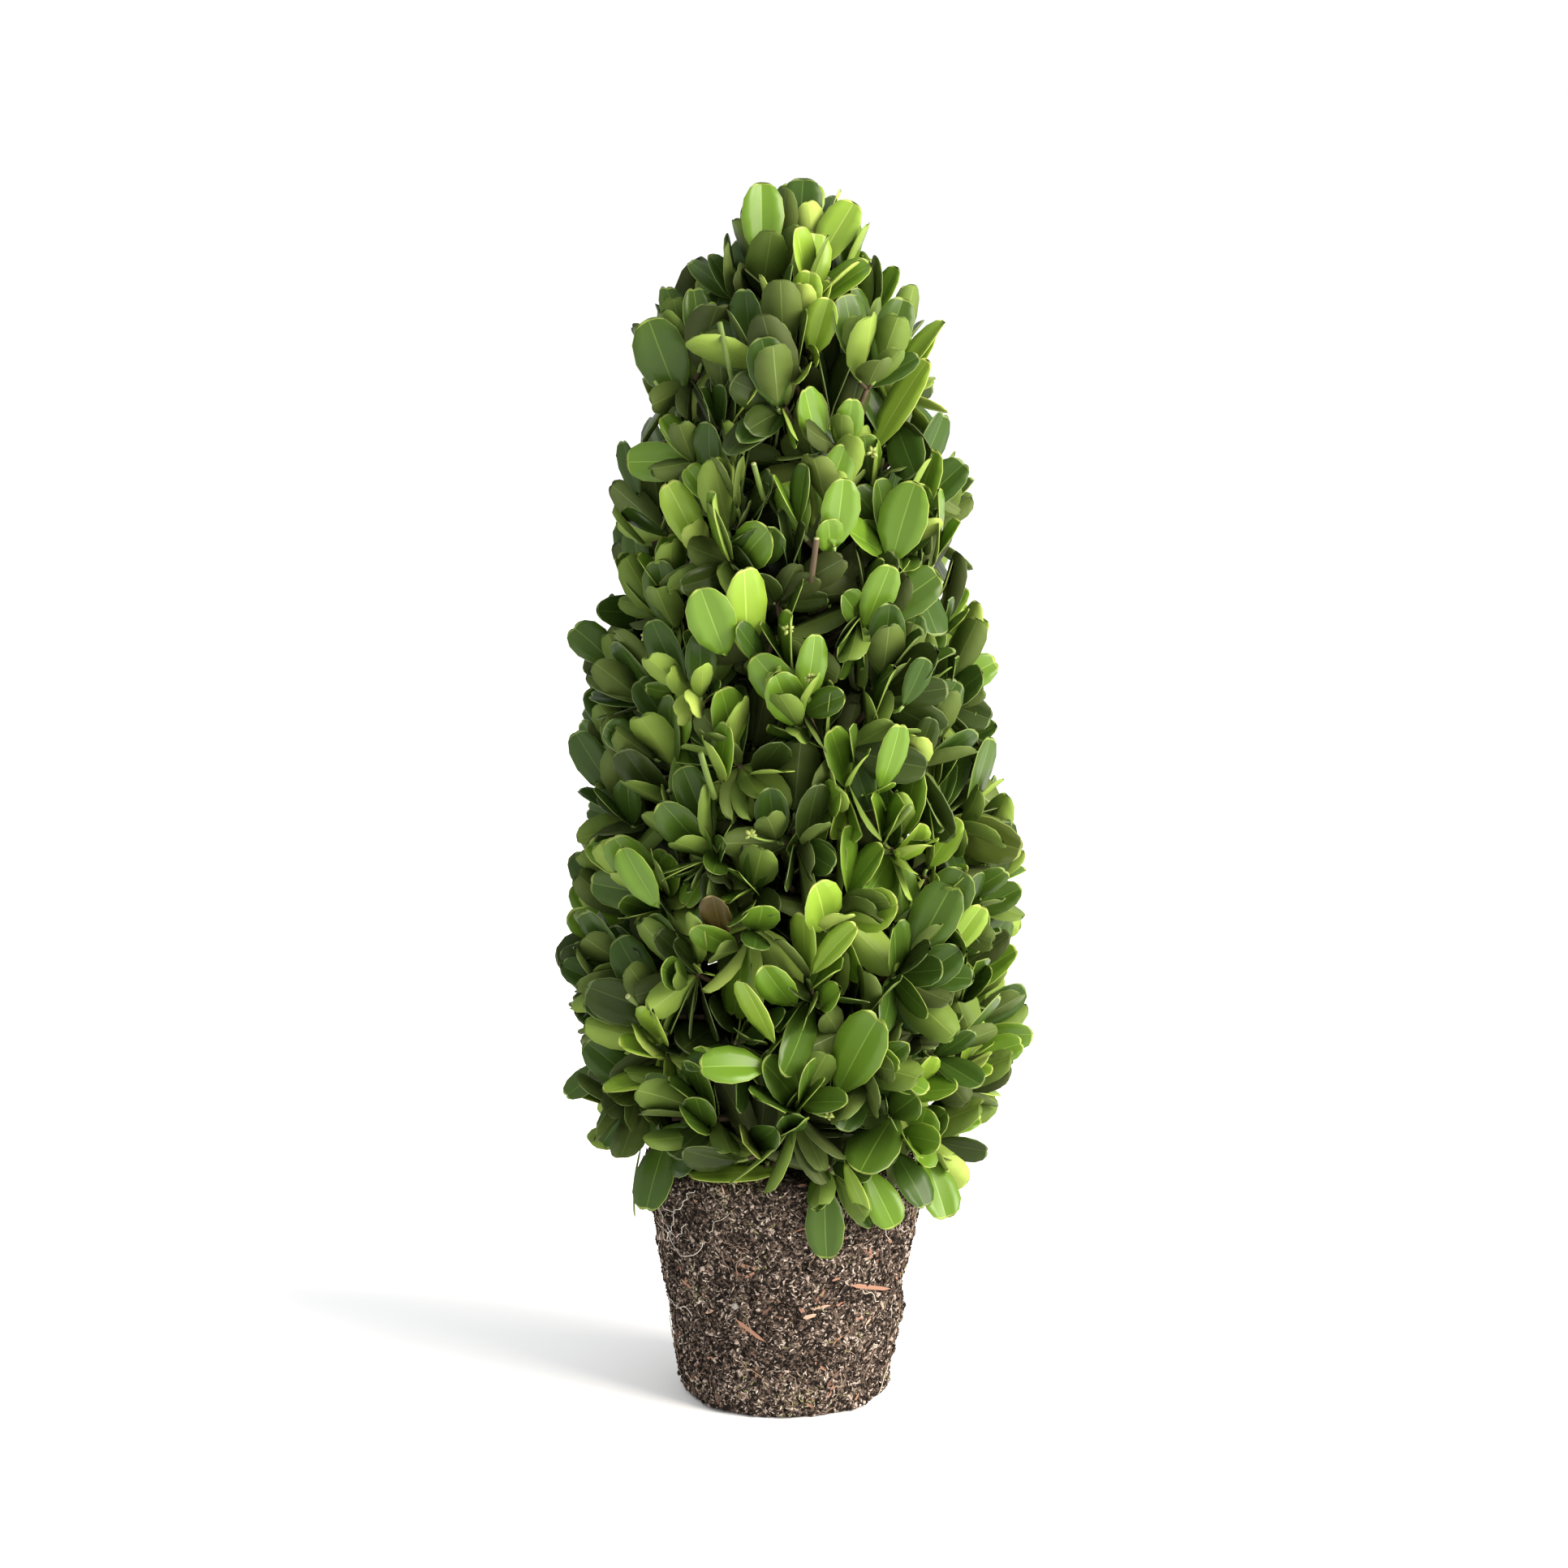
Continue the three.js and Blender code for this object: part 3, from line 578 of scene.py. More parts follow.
BOUGH_RADIUS = 2.5
BOUGH_TIP_RADIUS = 1.6
BOUGH_DROP = 10.0  # it leaves the stem this far below its growing line
BOUGH_SHARE = 0.3  # it ends at this share of the crown's radius
BOUGH_KNEE, BOUGH_SAG = 0.55, 0.2  # where it bends, and how far it hangs there, of the drop
BOUGH_POINTS, BOUGH_SIDES = 14, 14
BOUGH_BARK = 0.4
LEVEL_HEIGHT = 90.0  # shoots grow level here, and
RISE_PER_MM = 0.0068  # climb by this much more for each millimetre higher
# Radius and height of the crown's surface, from the soil to the tip.
OUTLINE = np.array([(59, 78), (70, 98), (73.5, 150), (69.5, 205), (60, 285), (50, 345), (42, 369),
                    (27, 388), (18, 404), (0, 411)], float)
# How many masses stand round the stem, their height on the crown's surface, and how far the first is
# turned, in degrees.
TIERS = {
    "skirt": (5, 101, 0),
    "lower": (5, 148, 36),
    "middle": (5, 197, 0),
    "upper": (5, 246, 36),
    "shoulder": (4, 296, 10),
    "neck": (3, 347, -75),
    "leader": (1, 398, 0),
}


def outline_point(share):
    """Radius and height of the crown's outline at a share of its run: a Catmull-Rom spline, whose
    pieces blend four neighbouring points by cubic weights."""
    spot = np.clip(share, 0, 1) * (len(OUTLINE) - 1)
    piece = np.minimum(spot.astype(int), len(OUTLINE) - 2)
    t = (spot - piece)[..., None]
    a, b, c, d = (OUTLINE[np.clip(piece + k, 0, len(OUTLINE) - 1)] for k in (-1, 0, 1, 2))
    return b + 0.5 * t * (c - a + t * (2 * a - 5 * b + 4 * c - d + t * (3 * (b - c) + d - a)))


OUTLINE_RUN = outline_point(np.linspace(0, 1, 400))


def crown_radius(height):
    """The crown's radius at a height of its surface."""
    return np.interp(height, OUTLINE_RUN[:, 1], OUTLINE_RUN[:, 0])


def growing_height(radius, height):
    """Where the growing line through a point leaves the axis: lines are level at LEVEL_HEIGHT and
    climb more steeply above it."""
    return (height + RISE_PER_MM * LEVEL_HEIGHT * radius) / (1 + RISE_PER_MM * radius)


def on_line(turn, growing, radius):
    """The point of a growing line at a distance from the axis."""
    height = growing + RISE_PER_MM * (growing - LEVEL_HEIGHT) * radius
    turn, radius, height = np.broadcast_arrays(turn, radius, height)
    return np.stack([np.sin(turn) * radius, -np.cos(turn) * radius, height], -1)


def stem_point(height):
    """Where the stem's axis is at a height."""
    share = np.clip((np.asarray(height) - BALL_HEIGHT) / (STEM_TOP - BALL_HEIGHT), 0, 1)
    return bezier(STEM_CONTROLS[None], np.atleast_1d(share)[None])[0]


mass_tier = np.repeat(np.arange(len(TIERS)), [row[0] for row in TIERS.values()])
mass_place = np.concatenate([np.arange(row[0]) for row in TIERS.values()])
mass_count, mass_height, mass_first = (
    np.array([list(TIERS.values())[tier][k] for tier in mass_tier], float) for k in range(3)
)
mass_number = mass_tier * 10 + mass_place
mass_turn = np.radians(mass_first) + 2 * np.pi * mass_place / mass_count
mass_radius = crown_radius(mass_height)
mass_growing = growing_height(mass_radius, mass_height)
mass_label = [
    tier if row[0] == 1 else f"{tier}_{k + 1}" for tier, row in TIERS.items() for k in range(row[0])
]
on_bough = mass_count > 1

bough_start = stem_point(mass_growing[on_bough] - BOUGH_DROP)
bough_end = on_line(mass_turn[on_bough], mass_growing[on_bough], BOUGH_SHARE * mass_radius[on_bough])
bough_knee = bough_start + BOUGH_KNEE * (bough_end - bough_start) - [0, 0, BOUGH_SAG * BOUGH_DROP]
bough_controls = np.stack([bough_start, bough_knee, bough_end], -2)
bough_run = np.linspace(0, 1, BOUGH_POINTS)
bough_path = bezier(bough_controls, bough_run[None]) + CROWN_PLACE
bough_radii = np.tile(BOUGH_RADIUS + (BOUGH_TIP_RADIUS - BOUGH_RADIUS) * bough_run, (len(bough_path), 1))
bough_points, bough_faces = barked(bough_path, bough_radii, BOUGH_SIDES, BOUGH_BARK, 15)
bough_piece = build_piece("bough_bark", "bark", bough_points, bough_faces, [boxwood_bark])
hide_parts(*[f"bough_{label}" for label, on in zip(mass_label, on_bough) if on])


# ---- Twigs ----
# Sprays of young shoots that fan out from each bough's tip, or the stem's. Each spray makes for its own
# spot of the crown's surface and forks on the way. Brown where it starts, green and soft at the tips.

TOTAL_HEIGHT = cad_box[1][2] / MM
CLEARANCE = 0.3  # between a bough's end and the limb that goes on from it
CORE_PLACE = 0.51  # the middle of each mass, as a share of the crown's radius
LIMB_KNEE = 0.4  # of the way from a limb's foot to the middle of its mass
TIER_SPREAD = 27.0  # a tier's sprays reach the surface up to this far above and below its height
LEADER_SHARE = 0.36  # of the outline's run, which the stem's own mass covers
LEADER_STEM = 52.0
LEADER_TWIGS = (0.35, 0.8)  # its sprays leave it between these shares of its length
TWIG_FAN = 0.55  # how far sprays of one mass part at their feet
SPRAYS = {"skirt": 5, "lower": 5, "middle": 5, "upper": 5, "shoulder": 6, "neck": 7, "leader": 9}
FORK = 3  # twigs in a spray
FORK_PLACE = 0.42  # of the way to the surface
FORK_SPREAD = 10.5
FORK_STRAY = 0.35  # share by which the spread varies
EVEN_STEPS = (0.7548776662, 0.569840291)  # steps that strew points evenly over a square, however many
SWELL = 4.0  # how far the crown's surface swells and sinks
SWELL_WIDTH = 24.0
UNEVEN = 2.5  # how far single twigs are clipped longer or shorter
LIFT = 0.4  # how strongly twigs turn up at their tips
TWIG_STRAY = 0.24
TWIG_BEND = 0.45  # of its length, from its end back to its bend
# Heights, and how strongly twigs turn up there: they droop low down and turn up most at the top.
TURN_HEIGHTS, TURN_UP = (66, LEVEL_HEIGHT, 150, 300, 370), (-1, 0, 1, 1.6, 2.8)
TIP_REACH = 20.0  # leaf tips pass their twig's end by about this
TIP_OUT = 0.4  # and lean outward by this
CURVE_POINTS = 6
TWIG_RUN = 1.04  # how far the twigs are carried, of the way to their ends
LIMB_SIDES, TWIG_SIDES = 7, 6
TWIG_RADIUS = 1.0
STALK_TIP_RADIUS = 0.85
TWIG_TIP_RADIUS = 0.55
INNER_SHOOTS = 6  # short shoots on each mass's own limb
INNER_START = (0.15, 0.8)  # they start from here on the limb, over this much of it
INNER_REACH = (0.45, 0.75)  # where they end, of the crown's radius
INNER_TOP = 22.0  # they stay this far below the tip
# Each mass draws its random numbers from a range of its own, and its inner shoots start further on.
NUMBERS, INNER_NUMBERS = 40, 30
# Height, and how far leaf tips reach there on the left and on the right.
CROWN_REACH = np.array([
    (60, 46, 51), (80, 52, 61), (94, 71, 65), (107, 73, 70), (121, 70, 76), (134, 71, 75),
    (148, 76, 69), (168, 71, 75), (187, 68, 75), (214, 69, 66), (240, 65, 62), (253, 69, 65),
    (268, 59, 60), (285, 59, 56), (298, 57, 60), (311, 55, 57), (324, 50, 50), (343, 45, 44),
    (360, 49, 46), (374, 38, 35), (386, 20, 29), (399, 11, 20), (406, 8, 12), (412, 4, 4),
], float)


def reach(turn, height):
    """How far leaf tips reach from the crown's axis: the mean of left and right, with half their
    difference times the sine of the turn."""
    left, right = (np.interp(height, CROWN_REACH[:, 0], CROWN_REACH[:, k]) for k in (1, 2))
    return (left + right) / 2 + (right - left) / 2 * np.sin(turn)


def rising(height):
    """How strongly a twig turns up at a height, by straight lines between the given heights."""
    return np.interp(height, TURN_HEIGHTS, TURN_UP)


def level_across(vectors):
    """A level direction square to each vector, also to one that points straight up."""
    return unit(np.cross(vectors, [0.001, 0, 1]))


def from_axis(points):
    """The level direction from the crown's axis to each point."""
    return unit(points * [1, 1, 0] + [0, 0, 1e-6])


def tapered(paths, first, last):
    """Radii along many paths, evenly from the first point's to the last one's."""
    return np.tile(np.linspace(first, last, paths.shape[1]), (len(paths), 1))


sprays_of = np.array([SPRAYS[tier] for tier in TIERS])[mass_tier]
spray_mass = np.repeat(np.arange(len(mass_tier)), sprays_of)
spray_index = np.concatenate([np.arange(count) for count in sprays_of])
spray_number = mass_number[spray_mass] * NUMBERS + spray_index
along, up = ((0.5 + (spray_index + 1) * step) % 1 for step in EVEN_STEPS)
in_leader = ~on_bough[spray_mass]

# The sprays of a bough start round the middle of its mass and make for evenly strewn spots of the
# surface.
spray_turn = mass_turn[spray_mass] + (2 * along - 1) * np.pi / mass_count[spray_mass]
spray_height = mass_height[spray_mass] + TIER_SPREAD * (2 * up - 1)
spray_radius = crown_radius(spray_height)
spray_growing = growing_height(spray_radius, spray_height)
surface = on_line(spray_turn, spray_growing, spray_radius)
middle = on_line(mass_turn, mass_growing, CORE_PLACE * mass_radius)[spray_mass]
root = middle + TWIG_FAN * (on_line(spray_turn, spray_growing, CORE_PLACE * spray_radius) - middle)

# Those of the leader start along its stem and make for the blunt tip.
edge = outline_point(1 - LEADER_SHARE * np.sqrt(up))
edge_turn = 2 * np.pi * along
cap = np.stack([np.sin(edge_turn) * edge[:, 0], -np.cos(edge_turn) * edge[:, 0], edge[:, 1]], -1)
leader_foot = STEM_CONTROLS[2] + [0, 0, CLEARANCE]
share = LEADER_TWIGS[0] + (LEADER_TWIGS[1] - LEADER_TWIGS[0]) * draw(spray_number, 0, 3)
surface = np.where(in_leader[:, None], cap, surface)
root = np.where(in_leader[:, None], leader_foot + share[:, None] * [0, 0, LEADER_STEM], root)

# Each spray forks in three, and its twigs part by about a centimetre on the surface. There the crown
# swells and sinks, and twigs are clipped a little unevenly.
outer_spray = np.repeat(np.arange(len(spray_mass)), FORK)
outer_member = np.tile(np.arange(FORK), len(spray_mass))
outer_number = spray_number[outer_spray]
spray_heading = unit(surface - root)
fork = (root + FORK_PLACE * (surface - root))[outer_spray]
level = level_across(spray_heading)[outer_spray]
climb = np.cross(level, spray_heading[outer_spray])
part_angle = 2 * np.pi * (outer_member / FORK + draw(outer_number, 0, 51))
part_by = FORK_SPREAD * (1 + FORK_STRAY * sway(outer_number, outer_member, 52))
outer_target = surface[outer_spray] + (part_by * np.cos(part_angle))[:, None] * level \
    + (part_by * np.sin(part_angle))[:, None] * climb
target_turn = np.arctan2(outer_target[:, 0], -outer_target[:, 1])
swelling = reach(target_turn, outer_target[:, 2]) - crown_radius(outer_target[:, 2]) \
    + SWELL * (2 * lattice_noise(outer_target, SWELL_WIDTH, 31) - 1) \
    + UNEVEN * sway(outer_number, outer_member, 53)
outer_target = outer_target + swelling[:, None] * from_axis(outer_target)

# The limb of each mass runs on from its bough, and the inner shoots stand along it.
foot = np.where(on_bough[:, None], 0, leader_foot)
foot[on_bough] = bough_end + CLEARANCE * unit(bough_end - bough_knee)
mass_end = on_line(mass_turn, mass_growing, CORE_PLACE * mass_radius)
mass_end = np.where(on_bough[:, None], mass_end, leader_foot + [0, 0, LEADER_STEM])
limb_controls = np.stack([foot, (1 - LIMB_KNEE) * foot + LIMB_KNEE * mass_end, mass_end], -2)

inner_mass = np.repeat(np.arange(len(mass_tier)), INNER_SHOOTS)
inner_index = np.tile(np.arange(INNER_SHOOTS), len(mass_tier))
inner_number = mass_number[inner_mass] * NUMBERS + INNER_NUMBERS + inner_index
inner_place = INNER_START[0] + INNER_START[1] * draw(inner_number, 1, 61)
inner_start = bezier(limb_controls[inner_mass], inner_place[:, None])[:, 0]
inner_turn = mass_turn[inner_mass] \
    + 2 * np.pi * (inner_index + draw(inner_number, 1, 62)) / INNER_SHOOTS / mass_count[inner_mass]
inner_height = mass_height[inner_mass] + TIER_SPREAD * sway(inner_number, 1, 63)
inner_radius = crown_radius(np.minimum(inner_height, TOTAL_HEIGHT - INNER_TOP))
inner_share = INNER_REACH[0] + (INNER_REACH[1] - INNER_REACH[0]) * draw(inner_number, 1, 64)
inner_growing = growing_height(inner_radius, inner_height)
inner_target = on_line(inner_turn, inner_growing, inner_share * inner_radius)

start = np.concatenate([fork, inner_start])
target = np.concatenate([outer_target, inner_target])
twig_mass = np.concatenate([spray_mass[outer_spray], inner_mass])
twig_number = np.concatenate([outer_number, inner_number])
twig_member = np.concatenate([outer_member, np.full(len(inner_mass), FORK)])
twig_stray = np.stack([sway(twig_number, twig_member, k) for k in (54, 55, 56)], -1)
lift = LIFT * rising(target[:, 2])[:, None] * [0, 0, 1]
heading = unit(unit(target - start) + lift + TWIG_STRAY * twig_stray)
end = target - TIP_REACH * unit(heading + TIP_OUT * from_axis(target))
apart = np.linalg.norm(end - start, axis=-1)
twig_controls = np.stack([start, end - (TWIG_BEND * apart)[:, None] * heading, end], -2)

# The twigs run on a little past their ends, where the last pair of leaves stands.
curve_run, twig_run = (np.linspace(0, last, CURVE_POINTS)[None] for last in (1, TWIG_RUN))
stalk_end = fork[::FORK]
limb_path = bezier(limb_controls, curve_run)
stalk_path = bezier(np.stack([root, 0.5 * (root + stalk_end), stalk_end], -2), curve_run)
twig_path = bezier(twig_controls, twig_run)

# Young wood has thin dark bark at first. The last shoots are still green, and less dull.
woody = material("woody twig", "#4a3c28", 0.8)
green_twig = material("green twig", "#7d9646", 0.5)
limb_radii = np.concatenate([tapered(limb_path, BOUGH_TIP_RADIUS, TWIG_RADIUS),
                             tapered(stalk_path, TWIG_RADIUS, STALK_TIP_RADIUS)])
limb_points, limb_faces = tubes(
    np.concatenate([limb_path, stalk_path]) + CROWN_PLACE, limb_radii, LIMB_SIDES)
build_piece("side_limbs", "bark", limb_points, limb_faces, [woody])
twig_points, twig_faces = tubes(
    twig_path + CROWN_PLACE, tapered(twig_path, STALK_TIP_RADIUS, TWIG_TIP_RADIUS), TWIG_SIDES)
twig_ring = np.tile(np.repeat(np.arange(CURVE_POINTS - 1), TWIG_SIDES), len(twig_path))
twig_tone = np.concatenate([twig_ring > 1, np.tile([0, 1], len(twig_path))])
build_piece("twigs", "bark", twig_points, twig_faces, [woody, green_twig], twig_tone)


# ---- Leaves ----
# Leathery boxwood leaves in crossed pairs along the last few centimetres of each twig: obovate, often
# notched at the tip, folded a little along the midrib, glossy above, paler and matt below. Each has a
# pale rim and grows straight out of its twig.

LEAF_LENGTH = 28.0
LEAF_WIDTH = 0.51  # of its length
LEAF_THICKNESS = 0.3
PAIRS = 6
PAIR_SPACING = 5.6
LAST_PAIR = 0.3  # the outermost pair stands this far back from the twig's end
PAIR_SIZES = np.array([0.84, 0.95, 1.02, 1.03, 0.98, 0.92])
PAIR_OPENINGS = np.array([11, 18, 24, 30, 35, 40])  # degrees from the twig
PAIR_AGE_AND_PAINTED_SHADE = np.array([0, 0, 0, 1, 1, 2])  # the older pairs, further in, are darker by so many tones: partly their own age, partly painted shade for their depth in the crown
LENGTH_STRAY, WIDTH_STRAY, SPACING_STRAY = 0.24, 0.16, 0.1  # shares of each
OPENING_STRAY, SPIN_STRAY, ROLL_STRAY = 10, 16, 30  # degrees
TRIES = 8  # other angles and smaller sizes that a leaf tries before it is left out
SHRINK = 0.97  # at each try
NUDGES = (0.11, 0.07, 0.13)  # how far it then turns, opens and rolls, in radians
NEAR = 50.0  # no leaf touches one whose root is further away
PAST_REACH = 4.0  # leaves may pass the crown's reach by this
BALL_MARGIN = (1, 2)  # leaves keep off the ball's top, inside its rim and above it, by these
PHOTOTROPISM = 0.15  # how far leaves turn up towards the light
# What a leaf's shape is in the middle, and how far it varies: degrees, and shares of length.
FOLD, CURL, NOTCH = (18, 16), (0.07, 0.1), (0.01, 0.035)
TWIST, BEND, DEEPEST_NOTCH = 0.4, 0.05, 0.045
# A leaf's rows along it, half its width at each, and its columns across. The last two rows bow outward.
LEAF_ALONG = np.array([0, 0.12, 0.34, 0.58, 0.8, 0.93, 0.98])
ROUND_LEAF = np.array([0.06, 0.31, 0.74, 0.98, 0.95, 0.7, 0.5])
NARROW_LEAF = np.array([0.06, 0.4, 0.87, 1.0, 0.85, 0.55, 0.38])
LEAF_ACROSS = np.array([-1, -0.972, -0.5, -0.03, 0.03, 0.5, 0.972, 1])
TIP_ACROSS = np.array([-1, -0.74, -0.36, -0.03, 0.03, 0.36, 0.74, 1])
LAST_ROW_REACH = np.array([0, 0.005, 0.035, 0.043, 0.043, 0.035, 0.005, 0])
TIP_REACHES = np.array([-0.01, 0.008, 0.018, 0.02, 0.02, 0.018, 0.008, -0.01])
CLEFT = np.array([(0, 0.3, 0.3, 0), (0.2, 0.9, 0.9, 0.2), (0.25, 1, 1, 0.25)])  # of the notch's depth
RIM_DROP = 0.12

# The upper side is a grid. Below it the underside has only the two edges of the midrib, so that each
# half is one strip of faces, and it ends in one face at the root and one at the tip.
rows, columns = len(LEAF_ALONG), len(LEAF_ACROSS)
grid = np.arange(rows * columns).reshape(rows, columns)
below = rows * columns + np.arange((rows - 2) * 2).reshape(rows - 2, 2)
upper_faces = np.stack([grid[:-1, :-1], grid[1:, :-1], grid[1:, 1:], grid[:-1, 1:]], -1).reshape(-1, 4)
left, right = grid[:, 0], grid[:, -1]
under_sides = np.concatenate([
    np.stack([left[1:-2], below[:-1, 0], below[1:, 0], left[2:-1]], -1),
    np.stack([below[:-1, 1], right[1:-2], right[2:-1], below[1:, 1]], -1),
])
under_rib = np.stack([below[:-1, 0], below[:-1, 1], below[1:, 1], below[1:, 0]], -1)
under_root = np.array([[*grid[0], right[1], below[0, 1], below[0, 0], left[1]]])
under_tip = np.array([[left[-2], below[-1, 0], below[-1, 1], right[-2], *grid[-1][::-1]]])
leaf_face_groups = [upper_faces[:, ::-1]] \
    + [group[:, ::-1] for group in (under_sides, under_rib, under_root, under_tip)]
LEAF_PARTS = 4
UPPER, UNDER, RIM, MIDRIB = range(LEAF_PARTS)
part = np.full((rows - 1, columns - 1), UPPER)
part[:, 3] = MIDRIB
part[:, [0, -1]] = RIM
part[-1] = RIM
leaf_parts = [part.ravel()] + [np.full(len(group), kind) for group, kind in
                               zip(leaf_face_groups[1:], (UNDER, RIM, UNDER, UNDER))]


def leaf_shapes(length, width, shape, fold, curl, twist, notch, bend):
    """Corners of many leaves, each with its root at the origin, lying along x with its upper side up.
    Half its width at each row blends the round and the narrow outline. Each half rises by the fold and
    arches over again, the tip falls by the curl and goes sideways by the bend, both times u squared, and
    the leaf turns by the twist. The rim lies a little lower, and the notch draws the tip's middle in."""
    length, width, shape, fold, curl, twist, notch, bend = (
        value[:, None, None] for value in (length, width, shape, fold, curl, twist, notch, bend)
    )
    u = np.tile(LEAF_ALONG[:, None], (1, columns))
    u[-2] += LAST_ROW_REACH
    u[-1] += TIP_REACHES
    v = np.tile(LEAF_ACROSS, (rows, 1))
    v[-1] = TIP_ACROSS
    half = (ROUND_LEAF[:, None] + shape * (NARROW_LEAF - ROUND_LEAF)[:, None]) * width / 2
    cleft = np.zeros((rows, columns))
    cleft[-3:, 2:6] = CLEFT
    x = length * (u - notch * cleft)
    y = half * v
    wide = np.abs(y)
    z = np.tan(fold) * wide * (1 - 0.9 * wide / width) - curl * length * u * u
    z = z - RIM_DROP * (np.abs(v) > 0.99) * (u > 0.05)
    y = y + bend * length * u * u
    sine, cosine = np.sin(twist * u), np.cos(twist * u)
    top = np.stack(np.broadcast_arrays(x, y * cosine - z * sine, y * sine + z * cosine), -1)
    thin = np.zeros((rows, columns, 1))
    thin[1:-1, 1:-1] = LEAF_THICKNESS / 2
    upper = (top + thin * [0, 0, 1]).reshape(len(top), -1, 3)
    lower = (top - thin * [0, 0, 1])[:, 1:-1, 3:5].reshape(len(top), -1, 3)
    return np.concatenate([upper, lower], axis=1)


def turned(vectors, axis, angle):
    """Vectors turned about unit axes by angles: Rodrigues' formula."""
    angle = np.asarray(angle)[..., None]
    lengthwise = axis * np.sum(axis * vectors, -1, keepdims=True)
    return (vectors - lengthwise) * np.cos(angle) + np.cross(axis, vectors) * np.sin(angle) + lengthwise


def leaf_axes(forward, out, opening, roll, rise):
    """Three directions of each leaf: along it, across it, and up from its upper side. A leaf opens away
    from its twig, turns up by the rise, and its upper side faces the twig's tip."""
    opening = np.asarray(opening)[..., None]
    along = unit(forward * np.cos(opening) + out * np.sin(opening) + rise * np.array([0, 0, 1]))
    upper = forward * np.sin(opening) - out * np.cos(opening)
    upper = unit(upper - along * np.sum(along * upper, -1, keepdims=True))
    upper = turned(upper, along, roll)
    return np.stack([along, np.cross(upper, along), upper], -2)


# A leaf's outline in its own plane, to test whether two leaves cross: corners of its edge, along it and
# across it, and half its width along it.
EDGE_U = np.array([0.1, 0.35, 0.6, 0.85, 1.0, 0.85, 0.6, 0.35])
EDGE_V = np.array([0.2, 0.65, 0.95, 0.9, 0.0, -0.9, -0.95, -0.65])
HALF_AT = (np.array([0, 0.15, 0.35, 0.6, 0.8, 0.92, 1.0]), np.array([0, 0.25, 0.7, 1, 0.95, 0.75, 0]))


def edge_ring(root, axes, length, width):
    """Corners of a leaf's edge: its root, plus u times its length along it and v times half its width
    across it."""
    return root + (EDGE_U * length)[:, None] * axes[0] + (EDGE_V * width / 2)[:, None] * axes[1]


def crossing(ring, root, axes, length, width):
    """Whether the edges of closed rings pass through leaves, taken flat: an edge's ends lie on opposite
    sides of the leaf, and the point where it meets the leaf's plane is inside the leaf's outline."""
    local = np.einsum("...kj,...ij->...ki", ring - root[..., None, :], axes)
    after = np.roll(local, -1, axis=-2)
    opposite = local[..., 2] * after[..., 2] < 0
    share = local[..., 2] / np.where(opposite, local[..., 2] - after[..., 2], 1)
    met = local + share[..., None] * (after - local)
    u = met[..., 0] / length[..., None]
    inside = np.abs(met[..., 1]) < width[..., None] / 2 * np.interp(u, *HALF_AT, left=0, right=0)
    return (opposite & inside & (u > 0.08)).any(-1)


leaf_pair, leaf_twig, leaf_half = np.indices((PAIRS, len(end), 2)).reshape(3, -1)
leaf_number = twig_number[leaf_twig] * (FORK + 1) + twig_member[leaf_twig]
leaf_key = leaf_pair * 2 + leaf_half


def chance(k):
    """A number from -1 to 1 for every leaf."""
    return sway(leaf_number, leaf_key, k)


leaf_length = LEAF_LENGTH * PAIR_SIZES[leaf_pair] * (1 + LENGTH_STRAY * chance(7))
leaf_width = leaf_length * LEAF_WIDTH * (1 + WIDTH_STRAY * chance(8))
back = LAST_PAIR + PAIR_SPACING * leaf_pair * (1 + SPACING_STRAY * chance(9))
on_twig = np.clip(1 - back / apart[leaf_twig], 0, 1)[:, None]
leaf_root = bezier(twig_controls[leaf_twig], on_twig)[:, 0]
a, b, c = np.moveaxis(twig_controls[leaf_twig], 1, 0)
forward = unit((1 - on_twig) * (b - a) + on_twig * (c - b))
side = level_across(forward)
opening = np.radians(PAIR_OPENINGS[leaf_pair] + OPENING_STRAY * chance(5))
spin = np.radians(90 * leaf_pair + 180 * leaf_half + SPIN_STRAY * chance(4))
spin = spin + 2 * np.pi * draw(leaf_number, 0, 12)
roll = np.radians(ROLL_STRAY * chance(6))
rise = PHOTOTROPISM * rising(leaf_root[:, 2])

